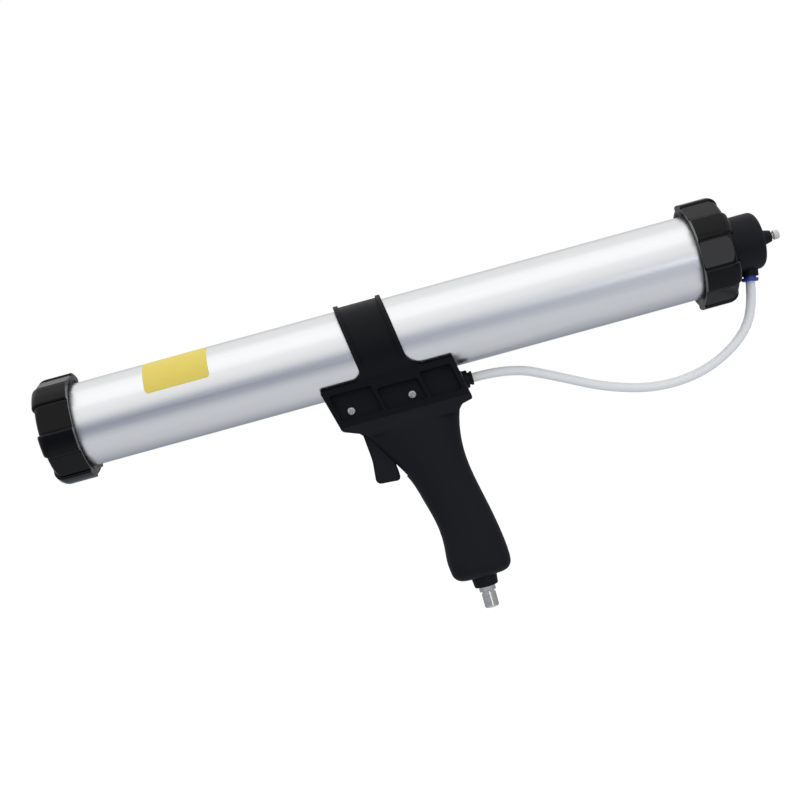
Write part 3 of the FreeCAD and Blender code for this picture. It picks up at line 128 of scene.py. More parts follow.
# Octaves of every grain, the range that most of a grain lies in, and the strength of its relief
GRAIN_DETAIL = 3.0
GRAIN_LOW = 0.3
GRAIN_HIGH = 0.7
RELIEF_STRENGTH = 0.5

# Sockets for colours on a mix node, where the sockets for its other kinds have the same names
MIX_A = 6
MIX_B = 7
MIX_RESULT = 2

FLOOR_Z = -0.36
FLOOR_SIZE = 60
FLOOR_ROUGHNESS = 0.9
FLOOR_GLOW = 1.0
# Share of the floor's colour that answers to the lights
FLOOR_LIT_SHARE = 0.1

CAMERA_PLACE = (-0.0171, -0.850, 0.0717)
CAMERA_ROLL = math.radians(15.38)
CAMERA_LENS_MM = 59.9
SENSOR_MM = 36.0
CLIP_START = 0.01

# A wide softbox over the gun
SOFTBOX_PLACE = (-0.1, -0.5, 1.5)
SOFTBOX_SIZE = (2.4, 1.4)
SOFTBOX_BRIGHTNESS = 0.3

# Brightness of the studio by height above the horizon in degrees, from straight down to straight up, on the camera's
# side and on the far side
NEAR_DOME = [
    (-90, 0.84),
    (-50, 0.90),
    (-38, 0.76),
    (-29, 0.50),
    (-20, 0.36),
    (-10, 0.38),
    (-3, 0.60),
    (4, 0.92),
    (12, 1.10),
    (24, 1.16),
    (45, 1.14),
    (90, 1.06),
]
FAR_DOME = [
    (-90, 0.84),
    (-60, 0.62),
    (-30, 0.40),
    (5, 0.38),
    (25, 0.65),
    (45, 1.05),
    (90, 1.06),
]
# The two sides of the dome blend over this depth to either side of the middle.
DOME_BLEND = 0.2

# Soft windows behind the camera, to its right: where each one lies, its brightness, and the angles from its middle at
# which it starts to fade and ends
WINDOWS = [
    ((0.254, -0.963, -0.095), 3.2, math.radians(2), math.radians(4.5)),
    ((0.324, -0.888, -0.326), 0.4, math.radians(4), math.radians(20)),
]

# The ramps hold shares of the brightest light, since a ramp's colours end at 1.
DOME_PEAK = max(brightness for _, brightness in NEAR_DOME + FAR_DOME)

# Tint of the studio: white above the horizon, a bluish haze under it down to a height in degrees, and cool below that
WHITE_LIGHT = (1.0, 1.0, 1.0)
HAZE_LIGHT = (0.86, 0.93, 1.14)
HAZE_FOOT = -35
COOL_LIGHT = (0.93, 0.95, 1.0)


def linear(hex_colour):
    """Linear RGB of an sRGB hex colour."""
    channels = [int(hex_colour[i:i + 2], 16) / 255 for i in (0, 2, 4)]
    return [c / 12.92 if c <= 0.04045 else ((c + 0.055) / 1.055) ** 2.4 for c in channels]


def colour(name, description, hex_colour):
    """Property for a colour, given as sRGB hex."""
    return FloatVectorProperty(name=name, description=description, subtype="COLOR", size=3, min=0, max=1,
                               default=linear(hex_colour))


def length(name, description, default):
    """Property for a length in metres."""
    return FloatProperty(name=name, description=description, subtype="DISTANCE", unit="LENGTH", min=0,
                         precision=5, default=default)


class GunSizes(bpy.types.PropertyGroup):
    """Sizes of the pieces that are modelled here."""

    hose_diameter: length("Hose diameter", "Outside diameter of the air hose", 0.006)
    hose_wall: length("Hose wall", "Wall of the air hose", 0.001)
    sticker_start: length("Sticker start", "From the muzzle end of the barrel to the sticker", 0.0622)
    sticker_length: length("Sticker length", "Along the barrel", 0.0415)
    sticker_width: length("Sticker width", "Round the barrel", 0.0310)
    sticker_corner: length("Sticker corner", "Corner radius of the sticker", 0.0022)
    sticker_thickness: length("Sticker thickness", "Film and glue together", 0.00014)
    sticker_angle: FloatProperty(name="Sticker angle", subtype="ANGLE", default=math.radians(48),
                                 description="Middle of the sticker above the left side of the barrel")
    screw_head: length("Screw head", "Height of a clamp screw's head", 0.0021)
    screw_dome: length("Screw dome", "Rounding of a screw's head", 0.0014)
    screw_shank: length("Screw shank", "Diameter of a clamp screw", 0.003)
    recess_width: length("Recess width", "Width of the slots of a screw's cross recess", 0.0008)
    recess_reach: length("Recess reach", "From a screw's axis to the end of a slot", 0.0016)
    recess_depth: length("Recess depth", "Depth of a screw's cross recess", 0.0010)
    nut_chamfer: length("Nut chamfer", "Turned chamfer on the corners of a nut", 0.0004)
    spring_wire: length("Spring wire", "Wire of both springs", 0.0005)
    bleed_turns: FloatProperty(name="Bleed spring turns", description="Turns of the bleed pin's spring", default=5)
    valve_turns: FloatProperty(name="Valve spring turns", description="Turns of the valve's spring", default=3)
    thread_pitch: length("Thread pitch", "Lead of the ring nuts' threads", 0.003)
    thread_depth: length("Thread depth", "Root of a barrel thread under the barrel's skin", 0.0008)
    thread_crest: length("Thread crest", "Rolled crest of a barrel thread over the barrel's skin", 0.0002)
    ring_play: length("Ring play", "Between a ring nut's bore and the barrel's skin", 0.0003)
    ring_thread: length("Ring thread", "Height of a ring nut's thread over its bore", 0.00025)
    thread_run: length("Thread run", "Length of thread on each end of the barrel", 0.0100)
    thread_land: length("Thread land", "Plain end between a thread and the end of the barrel", 0.0008)


class GunColours(bpy.types.PropertyGroup):
    """Colours of the finishes."""

    aluminium: colour("Aluminium", "Drawn barrel", "D9DADB")
    ring_black: colour("Ring black", "Glossy moulded ring nuts", "070709")
    body_black: colour("Body black", "Matte moulded grip, trigger and end plug", "121318")
    clamp_black: colour("Clamp black", "Satin moulded clamp", "0C0D11")
    hose: colour("Hose", "Milky hose", "F8F9F8")
    blue: colour("Blue", "Release ring of the rear port", "2B3E9B")
    pale: colour("Pale", "Press tip of the bleed valve", "D9D6D3")
    zinc: colour("Zinc", "Screws and springs", "A9ABAD")
    nickel: colour("Nickel", "Air plug", "D8D6CC")
    cast: colour("Cast metal", "Valve body and air pipe", "A3A5A8")
    yellow: colour("Yellow", "Plain sticker", "D9C554")
    rubber: colour("Rubber", "Seals", "1B1B1C")
    brass: colour("Brass", "Turned valve pieces", "C9A15A")
    floor: colour("Floor", "Studio floor", "F4F4F4")


def add_node(tree, kind, inputs=None, **settings):
    """Add a node with its settings, and set or link its inputs."""
    node = tree.nodes.new(kind)
    for name, value in settings.items():
        setattr(node, name, value)
    for socket, value in (inputs or {}).items():
        if isinstance(value, bpy.types.NodeSocket):
            tree.links.new(value, node.inputs[socket])
        else:
            node.inputs[socket].default_value = value
    return node


def grained(name, base, grain_mm, stretch, drift, gloss, height_mm, sockets):
    """Finish whose tone, gloss and height all follow one grain of a real size.

    The grain is stretched along each axis, the tone drifts by a share of the base colour, and the roughness lies
    between the two values of gloss.
    """
    material = bpy.data.materials.new(name)
    material.use_nodes = True
    tree = material.node_tree
    shader = tree.nodes["Principled BSDF"]
    for socket, value in sockets.items():
        shader.inputs[socket].default_value = value
    place = add_node(tree, "ShaderNodeTexCoord").outputs["Object"]
    squeeze = [1 / share for share in stretch]
    drawn = add_node(tree, "ShaderNodeMapping", {"Vector": place, "Scale": squeeze}).outputs["Vector"]
    grain = add_node(tree, "ShaderNodeTexNoise",
                     {"Vector": drawn, "Scale": 1000 / grain_mm, "Detail": GRAIN_DETAIL}).outputs["Fac"]
    dark = [c * (1 - drift) for c in base]
    light = [min(1.0, c * (1 + drift)) for c in base]
    tone = add_node(tree, "ShaderNodeMix", {"Factor": grain, MIX_A: (*dark, 1), MIX_B: (*light, 1)},
                    data_type="RGBA")
    sheen = add_node(tree, "ShaderNodeMapRange", {"Value": grain, "From Min": GRAIN_LOW, "From Max": GRAIN_HIGH,
                                                  "To Min": gloss[0], "To Max": gloss[1]})
    relief = add_node(tree, "ShaderNodeBump", {"Height": grain, "Distance": height_mm / 1000,
                                               "Strength": RELIEF_STRENGTH})
    tree.links.new(tone.outputs[MIX_RESULT], shader.inputs["Base Color"])
    tree.links.new(sheen.outputs["Result"], shader.inputs["Roughness"])
    tree.links.new(relief.outputs["Normal"], shader.inputs["Normal"])
    return material


def make_finishes(colours):
    """Every finish by a short key."""
    metal = {"Metallic": 1.0}
    even = (1, 1, 1)
    along_barrel = (80, 1, 1)
    along_hose = (3, 1, 1)
    round_plug = (25, 25, 1)
    round_valve = (1, 25, 25)
    nylon_ior = 1.53
    acetal_ior = 1.48
    return {
        # Drawn tube with a satin skin: die lines along the tube, drawn coarser than real ones, in a soft bright sheen.
        "barrel": grained("satin_drawn_aluminium", colours.aluminium, grain_mm=1.0, stretch=along_barrel, drift=0.05,
                          gloss=(0.28, 0.33), height_mm=0.0015, sockets=metal),
        # Glass-filled nylon from a polished mould: nearly black, with clear highlights and a faint ripple.
        "ring": grained("glossy_moulded_nylon", colours.ring_black, grain_mm=4.0, stretch=even, drift=0.15,
                        gloss=(0.115, 0.125), height_mm=0.002,
                        sockets={"IOR": nylon_ior, "Specular IOR Level": 0.14}),
        # The same plastic from a spark-eroded mould: a dull grain, drawn coarser than the real one so that it shows.
        "body": grained("matte_moulded_nylon", colours.body_black, grain_mm=0.6, stretch=even, drift=0.25,
                        gloss=(0.46, 0.58), height_mm=0.02,
                        sockets={"IOR": nylon_ior, "Specular IOR Level": 0.13}),
        # A finer texture than the grip's, with a base colour set darker and slightly more even than the grip's.
        "clamp": grained("satin_moulded_nylon", colours.clamp_black, grain_mm=0.4, stretch=even, drift=0.2,
                         gloss=(0.4, 0.5), height_mm=0.012,
                         sockets={"IOR": nylon_ior, "Specular IOR Level": 0.1}),
        # Natural polyurethane tube: milky, with a little light through its wall and slow clouds in a frosted skin.
        "hose": grained("milky_polyurethane", colours.hose, grain_mm=9.0, stretch=along_hose, drift=0.03,
                        gloss=(0.3, 0.36), height_mm=0.002,
                        sockets={"IOR": 1.4, "Transmission Weight": 0.12}),
        # Coloured acetal from a small mould: waxy, with a soft highlight.
        "blue": grained("blue_acetal", colours.blue, grain_mm=2.0, stretch=even, drift=0.08,
                        gloss=(0.3, 0.4), height_mm=0.005, sockets={"IOR": acetal_ior}),
        # Natural acetal: waxy and a little see-through at its edges.
        "pale": grained("natural_acetal", colours.pale, grain_mm=2.0, stretch=even, drift=0.05,
                        gloss=(0.3, 0.4), height_mm=0.005,
                        sockets={"IOR": acetal_ior, "Subsurface Weight": 0.3,
                                 "Subsurface Radius": (0.001, 0.001, 0.001)}),
        # Zinc plate on steel: silver grey with small clouds from the bath.
        "zinc": grained("zinc_plated_steel", colours.zinc, grain_mm=0.8, stretch=even, drift=0.12,
                        gloss=(0.3, 0.44), height_mm=0.008, sockets=metal),
        # Nickel plate on a turned plug: bright and slightly warm, with fine rings from the tool, drawn coarser than the
        # real ones.
        "nickel": grained("nickel_plated_steel", colours.nickel, grain_mm=0.5, stretch=round_plug, drift=0.06,
                          gloss=(0.14, 0.24), height_mm=0.006, sockets=metal),
        # Die-cast zinc as it leaves the tool: grey and slightly frosted.
        "cast": grained("die_cast_zinc", colours.cast, grain_mm=1.2, stretch=even, drift=0.1,
                        gloss=(0.42, 0.55), height_mm=0.02, sockets=metal),
        # Turned brass: warm and bright, with fine rings from the tool, drawn coarser than the real ones.
        "brass": grained("turned_brass", colours.brass, grain_mm=0.4, stretch=round_valve, drift=0.08,
                         gloss=(0.2, 0.32), height_mm=0.01, sockets=metal),
        # Moulded nitrile: dull, with a dusty bloom.
        "rubber": grained("nitrile_rubber", colours.rubber, grain_mm=1.5, stretch=even, drift=0.2,
                          gloss=(0.6, 0.8), height_mm=0.01, sockets={"IOR": 1.52}),
        # Vinyl film: even and satin, with a slow drift from handling.
        "sticker": grained("yellow_vinyl", colours.yellow, grain_mm=6.0, stretch=even, drift=0.05,
                           gloss=(0.42, 0.55), height_mm=0.01, sockets={"IOR": 1.5}),
    }


# Which finish each solid has
NODE_FINISH = {
    "barrel": ["barrel_tube"],
    "ring": ["front_ring_nut", "rear_ring_nut"],
    "body": ["rear_plug", "rear_port_fitting", "bleed_collar", "grip_left_half", "grip_right_half", "trigger",
             "outlet_fitting", "outlet_collet", "inlet_collar", "piston"],
    "clamp": ["barrel_clamp"],
    "blue": ["rear_collet"],
    "pale": ["bleed_pin"],
    "zinc": ["trigger_pin"],
    "nickel": ["inlet_nipple"],
    "cast": ["valve_body", "air_pipe"],
    "brass": ["valve_stem", "valve_end_plug"],
    "rubber": ["front_seal_washer", "rear_oring", "bleed_seal", "piston_seal", "poppet_face", "stem_seal",
               "inlet_washer"],
}

FINISHES = {}


def deselect():
    """Leave no object selected."""
    bpy.ops.object.select_all(action="DESELECT")


def activate(obj):
    """Make one object the only selected one."""
    deselect()
    obj.select_set(True)
    bpy.context.view_layer.objects.active = obj


def dress(obj, finish):
    """Give a piece one finish all over."""
    obj.data.materials.clear()
    obj.data.materials.append(FINISHES[finish])


def apply_place(obj):
    """Put a piece's place into its mesh, as on the solids."""
    activate(obj)
    bpy.ops.object.transform_apply(location=True, rotation=True, scale=True)


def apply_modifier(obj, kind, **settings):
    """Add a modifier with its settings and apply it."""
    activate(obj)
    modifier = obj.modifiers.new(kind.lower(), kind)
    for name, value in settings.items():
        setattr(modifier, name, value)
    bpy.ops.object.modifier_apply(modifier=modifier.name)


def start_edit(obj):
    """Open one object in edit mode with nothing selected."""
    activate(obj)
    bpy.ops.object.mode_set(mode="EDIT")
    bpy.ops.mesh.select_all(action="DESELECT")


def end_edit():
    """Turn every face outwards and leave edit mode."""
    bpy.ops.mesh.select_all(action="SELECT")
    bpy.ops.mesh.normals_make_consistent(inside=False)
    bpy.ops.object.mode_set(mode="OBJECT")


def pick_faces(obj, wanted):
    """In edit mode, select the faces whose middle and normal are wanted."""
    bpy.ops.mesh.select_mode(type="FACE")
    bpy.ops.mesh.select_all(action="DESELECT")
    mesh = bmesh.from_edit_mesh(obj.data)
    for face in mesh.faces:
        if wanted(face.calc_center_median(), face.normal):
            face.select_set(True)
    bmesh.update_edit_mesh(obj.data)


def pick_edges(obj, wanted):
    """In edit mode, select the edges whose middle is wanted."""
    bpy.ops.mesh.select_mode(type="EDGE")
    bpy.ops.mesh.select_all(action="DESELECT")
    mesh = bmesh.from_edit_mesh(obj.data)
    for edge in mesh.edges:
        if wanted((edge.verts[0].co + edge.verts[1].co) / 2):
            edge.select_set(True)
    bmesh.update_edit_mesh(obj.data)


def push(offset):
    """In edit mode, extrude what is selected by an offset."""
    bpy.ops.mesh.extrude_region_move(TRANSFORM_OT_translate={"value": offset})


def cut_with(obj, tool, operation):
    """Cut a piece with a tool shape, or keep what they share, and remove the tool."""
    apply_modifier(obj, "BOOLEAN", object=tool, operation=operation, solver="EXACT")
    bpy.data.objects.remove(tool)


def add_disc(name, sides, radius, low, high):
    """Closed cylinder or prism along Z from one height to another."""
    deselect()
    bpy.ops.mesh.primitive_cylinder_add(vertices=sides, radius=radius, depth=high - low,
                                        location=(0, 0, (low + high) / 2))
    disc = bpy.context.object
    disc.name = name
    apply_place(disc)
    return disc


def copy_to(obj, places):
    """One object made of copies of a piece, each with its own mesh, at the given matrices."""
    copies = []
    for place in places:
        copy = obj.copy()
        copy.data = obj.data.copy()
        copy.matrix_world = place
        bpy.context.scene.collection.objects.link(copy)
        apply_place(copy)
        copies.append(copy)
    name = obj.name
    bpy.data.objects.remove(obj)
    activate(copies[0])
    for copy in copies[1:]:
        copy.select_set(True)
    bpy.ops.object.join()
    copies[0].name = name
    return copies[0]


def finish_piece(obj, finish, sharp_angle=SHARP_ANGLE):
    """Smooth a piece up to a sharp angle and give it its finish."""
    activate(obj)
    bpy.ops.object.shade_smooth_by_angle(angle=math.radians(sharp_angle))
    dress(obj, finish)


class GUN_OT_finish_solids(bpy.types.Operator):
    """Give every solid of the gun its finish"""

    bl_idname = "gun.finish_solids"
    bl_label = "Finish the solids"

    def execute(self, context):
        FINISHES.update(make_finishes(context.scene.gun_colours))
        for finish, nodes in NODE_FINISH.items():
            for node in nodes:
                dress(frame["nodes"][node], finish)
        return {"FINISHED"}


class GUN_OT_air_hose(bpy.types.Operator):
    """Run the air hose from the handle to the rear port"""

    bl_idname = "gun.air_hose"
    bl_label = "Air hose"

    def execute(self, context):
        sizes = context.scene.gun_sizes
        hose = self.line()
        bare = bpy.data.meshes.new_from_object(hose)
        hose.data.bevel_depth = sizes.hose_diameter / 2
        hose.data.bevel_resolution = HOSE_ROUND_STEPS
        activate(hose)
        bpy.ops.object.convert(target="MESH")
        hose = context.object
        apply_modifier(hose, "SOLIDIFY", thickness=sizes.hose_wall, offset=-1)
        finish_piece(hose, "hose", sharp_angle=ROUND_SHARP_ANGLE)
        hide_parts("air_hose")
        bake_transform(hose)
        return {"FINISHED"}

    def line(self):
        """Smooth curve along the hose's route."""
        curve = bpy.data.curves.new("air_hose_line", "CURVE")
        curve.dimensions = "3D"
        curve.resolution_u = HOSE_SPAN_STEPS
        spline = curve.splines.new("NURBS")
        spline.points.add(len(HOSE_ROUTE) - 1)
        for point, (x, z) in zip(spline.points, HOSE_ROUTE):
            point.co = (x, 0, z, 1)
        spline.order_u = 3
        spline.use_endpoint_u = True
        line = bpy.data.objects.new("clear_air_hose", curve)
        bpy.context.scene.collection.objects.link(line)
        return line


class GUN_OT_sticker(bpy.types.Operator):
    """Lay the plain sticker round the upper side of the barrel"""

    bl_idname = "gun.sticker"
    bl_label = "Sticker"

    def execute(self, context):
        sizes = context.scene.gun_sizes
        half_turn = sizes.sticker_width / BARREL_RADIUS / 2
        flat_width = 2 * BARREL_RADIUS * math.sin(half_turn)
        middle = BARREL_LOW.x + sizes.sticker_start + sizes.sticker_length / 2
        deselect()
        bpy.ops.mesh.primitive_plane_add(size=1)
        sticker = context.object
        sticker.name = "sticker"
        sticker.scale = (sizes.sticker_length, flat_width, 1)
        apply_place(sticker)
        start_edit(sticker)
        bpy.ops.mesh.select_all(action="SELECT")
        bpy.ops.mesh.bevel(affect="VERTICES", offset=sizes.sticker_corner, segments=ROUNDING_STEPS)
        for strip in range(1, STICKER_STRIPS):
            bpy.ops.mesh.select_all(action="SELECT")
            y = flat_width * (strip / STICKER_STRIPS - 0.5)
            bpy.ops.mesh.bisect(plane_co=(0, y, 0), plane_no=(0, 1, 0))
        bpy.ops.object.mode_set(mode="OBJECT")
        outward = Matrix.Rotation(math.pi / 2 - sizes.sticker_angle, 4, "X")
        away = outward @ Vector((0, 0, BARREL_RADIUS * STICKER_APPROACH))
        sticker.matrix_world = Matrix.Translation((middle, away.y, AXIS_Z + away.z)) @ outward
        apply_modifier(sticker, "SHRINKWRAP", target=frame["nodes"]["barrel_tube"], wrap_method="PROJECT",
                       use_project_z=True, use_negative_direction=True, use_positive_direction=False,
                       offset=sizes.sticker_thickness / 2)
        apply_place(sticker)
        apply_modifier(sticker, "SOLIDIFY", thickness=sizes.sticker_thickness, offset=1)
        finish_piece(sticker, "sticker")
        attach(sticker, "tool_frame")
        return {"FINISHED"}


class GUN_OT_clamp_screws(bpy.types.Operator):
    """Model a round-headed screw with a cross recess and put both screws through the clamp"""

    bl_idname = "gun.clamp_screws"
    bl_label = "Clamp screws"

    def execute(self, context):
        sizes = context.scene.gun_sizes
        low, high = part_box("clamp_screws")
        head_radius = (high.z - low.z) / 2
        shank_length = high.y - low.y - sizes.screw_head
        screw = add_disc("clamp_screw_pair", SCREW_SIDES, head_radius, 0, sizes.screw_head)
        start_edit(screw)
        pick_faces(screw, lambda middle, normal: normal.z > UPRIGHT)
        bpy.ops.mesh.bevel(affect="EDGES", offset=sizes.screw_dome, segments=ROUNDING_STEPS)
        pick_faces(screw, lambda middle, normal: normal.z < -UPRIGHT)
        bpy.ops.mesh.inset(thickness=head_radius - sizes.screw_shank / 2)
        push((0, 0, -shank_length))
        bpy.ops.mesh.bevel(affect="EDGES", offset=sizes.screw_shank * SHANK_BEVEL, segments=SHANK_END_STEPS)
        end_edit()
        cut_with(screw, self.cross(sizes), "DIFFERENCE")
        middles = (low.x + head_radius, high.x - head_radius)
        seat = Vector((0, low.y + sizes.screw_head, (low.z + high.z) / 2))
        towards_left = Matrix.Rotation(math.pi / 2, 4, "X")
        places = [Matrix.Translation(seat + Vector((x, 0, 0))) @ towards_left @ Matrix.Rotation(turn, 4, "Z")
                  for x, turn in zip(middles, SCREW_TURNS)]
        pair = copy_to(screw, places)
        finish_piece(pair, "zinc")
        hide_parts("clamp_screws")
        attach(pair, "tool_frame")
        return {"FINISHED"}

    def cross(self, sizes):
        """Tapered cross that stands in the screw's head."""
        half = sizes.recess_width / 2
        arm = sizes.recess_reach - half
        top = sizes.screw_head * CROSS_TOP
        deselect()
        bpy.ops.mesh.primitive_plane_add(size=sizes.recess_width, location=(0, 0, top))
        cross = bpy.context.object
        apply_place(cross)
        start_edit(cross)
        for side in (Vector((1, 0, 0)), Vector((-1, 0, 0)), Vector((0, 1, 0)), Vector((0, -1, 0))):
            pick_edges(cross, lambda middle: (middle - side * half).xy.length < half * CLOSE)
            push(side * arm)
        bpy.ops.mesh.select_all(action="SELECT")
        push((0, 0, sizes.screw_head - sizes.recess_depth - top))
        bpy.ops.transform.resize(value=(CROSS_TAPER, CROSS_TAPER, 1), center_override=(0, 0, 0))
        end_edit()
        return cross


class GUN_OT_clamp_nuts(bpy.types.Operator):
    """Model a chamfered nut and put both nuts on the clamp's far side"""

    bl_idname = "gun.clamp_nuts"
    bl_label = "Clamp nuts"

    def execute(self, context):
        sizes = context.scene.gun_sizes
        low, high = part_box("clamp_nuts")
        height = high.y - low.y
        corner = (high.z - low.z) / 2 / math.cos(math.pi / NUT_SIDES)
        nut = add_disc("clamp_nut_pair", NUT_SIDES, corner, 0, height)
        turned_disc = add_disc("chamfer_tool", CHAMFER_SIDES, corner * CHAMFER_TOOL_ROOM, 0, height)
        start_edit(turned_disc)
        pick_faces(turned_disc, lambda middle, normal: abs(normal.z) > UPRIGHT)
        bpy.ops.mesh.bevel(affect="EDGES", offset=sizes.nut_chamfer, segments=1)
        end_edit()
        cut_with(nut, turned_disc, "INTERSECT")
        bore = add_disc("bore_tool", BORE_SIDES, sizes.screw_shank / 2, -height, 2 * height)
        cut_with(nut, bore, "DIFFERENCE")
        flats_up = Matrix.Rotation(math.pi / 2, 4, "X") @ Matrix.Rotation(math.pi / NUT_SIDES, 4, "Z")
        seat = Vector((0, high.y, (low.z + high.z) / 2))
        places = [Matrix.Translation(seat + Vector((x, 0, 0))) @ flats_up
                  for x in (low.x + corner, high.x - corner)]
        pair = copy_to(nut, places)
        finish_piece(pair, "zinc")
        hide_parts("clamp_nuts")
        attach(pair, "tool_frame")
        return {"FINISHED"}


def sweep_helix(profile, turns, steps, rise, place):
    """Sweep a profile in the XZ plane into a right-handed helix along X, close its ends and put it in place."""
    apply_modifier(profile, "SCREW", axis="X", angle=turns * 2 * math.pi, screw_offset=rise,
                   steps=steps, render_steps=steps)
    start_edit(profile)
    bpy.ops.mesh.select_mode(type="EDGE")
    bpy.ops.mesh.select_non_manifold()
    bpy.ops.mesh.fill_holes(sides=0)
    end_edit()
    profile.matrix_world = Matrix.Translation(place)
    apply_place(profile)


class GUN_OT_springs(bpy.types.Operator):
    """Wind the springs of the bleed pin and of the valve"""

    bl_idname = "gun.springs"
    bl_label = "Springs"

    def execute(self, context):
        sizes = context.scene.gun_sizes
        bleed = self.wind("bleed_spring", sizes.bleed_turns, sizes.spring_wire)
        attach(bleed, "rear_end")
        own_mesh(bleed)
        valve = self.wind("valve_spring", sizes.valve_turns, sizes.spring_wire)
        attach(valve, "tool_frame")
        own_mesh(valve)
        return {"FINISHED"}

    def stroke(self, name):
        """Longest travel of a sliding joint."""
        joints = frame["record"]["behaviour"]["joints"]
        return next(joint for joint in joints if joint["name"] == name)["range_m"][1]

    def wind(self, node, turns, wire):
        """Coil that fills the box of a spring's solid."""
        low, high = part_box(node)
        radius = (high.z - low.z - wire) / 2
        deselect()
        bpy.ops.mesh.primitive_circle_add(vertices=WIRE_SIDES, radius=wire / 2, rotation=(math.pi / 2, 0, 0),
                                          location=(wire / 2, 0, radius))
        coil = bpy.context.object
        coil.name = node.replace("spring", "coil")
        apply_place(coil)
        place = (low.x, 0, (low.z + high.z) / 2)
        sweep_helix(coil, turns, round(SPRING_TURN_STEPS * turns), high.x - low.x - wire, place)
        finish_piece(coil, "zinc", sharp_angle=ROUND_SHARP_ANGLE)
        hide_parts(node)
        return coil


class GUN_OT_threads(bpy.types.Operator):
    """Cut the threads of the barrel's ends and of the ring nuts"""

    bl_idname = "gun.threads"
    bl_label = "Threads"

    def execute(self, context):
        sizes = context.scene.gun_sizes
        pitch = sizes.thread_pitch
        root = BARREL_RADIUS - sizes.thread_depth
        crest = BARREL_RADIUS + sizes.thread_crest
        bore = BARREL_RADIUS + sizes.ring_play
        starts = (BARREL_LOW.x + sizes.thread_land, BARREL_HIGH.x - sizes.thread_land - sizes.thread_run)
        for end, start, outwards in zip(("front", "rear"), starts, (-1, 1)):
            male = self.ridge(end + "_barrel_thread", pitch, root, crest)
            self.sweep(male, sizes, start)
            finish_piece(male, "barrel")
            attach(male, "tool_frame")
            # The nut's ridge lies half a pitch off, in the groove of the barrel's thread.
            female = self.ridge(end + "_ring_thread", pitch, bore, bore - sizes.ring_thread)
            self.sweep(female, sizes, start + outwards * pitch / 2)
            finish_piece(female, "ring")
            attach(female, end + "_ring")
        return {"FINISHED"}

    def sweep(self, ridge, sizes, start):
        """Wind a ridge along its run, one pitch short since the ridge itself is a pitch wide."""
        rise = sizes.thread_run - sizes.thread_pitch
        turns = rise / sizes.thread_pitch
        sweep_helix(ridge, turns, round(THREAD_TURN_STEPS * turns), rise, (start, 0, AXIS_Z))

    def ridge(self, name, pitch, root, crest):
        """Profile of one thread: a flank, a narrow crest and a flank."""
        deselect()
        bpy.ops.mesh.primitive_plane_add(size=1, rotation=(math.pi / 2, 0, 0))
        ridge = bpy.context.object
        ridge.name = name
        ridge.scale = (pitch * RIDGE_FOOT, abs(crest - root), 1)
        ridge.location = (pitch / 2, 0, (root + crest) / 2)
        apply_place(ridge)
        start_edit(ridge)
        pick_edges(ridge, lambda middle: abs(middle.z - crest) < abs(crest - root) * CLOSE)
        bpy.ops.transform.resize(value=(RIDGE_CREST, 1, 1), center_override=(pitch / 2, 0, crest))
        bpy.ops.mesh.select_all(action="SELECT")
        bpy.ops.mesh.delete(type="ONLY_FACE")
        bpy.ops.object.mode_set(mode="OBJECT")
        return ridge


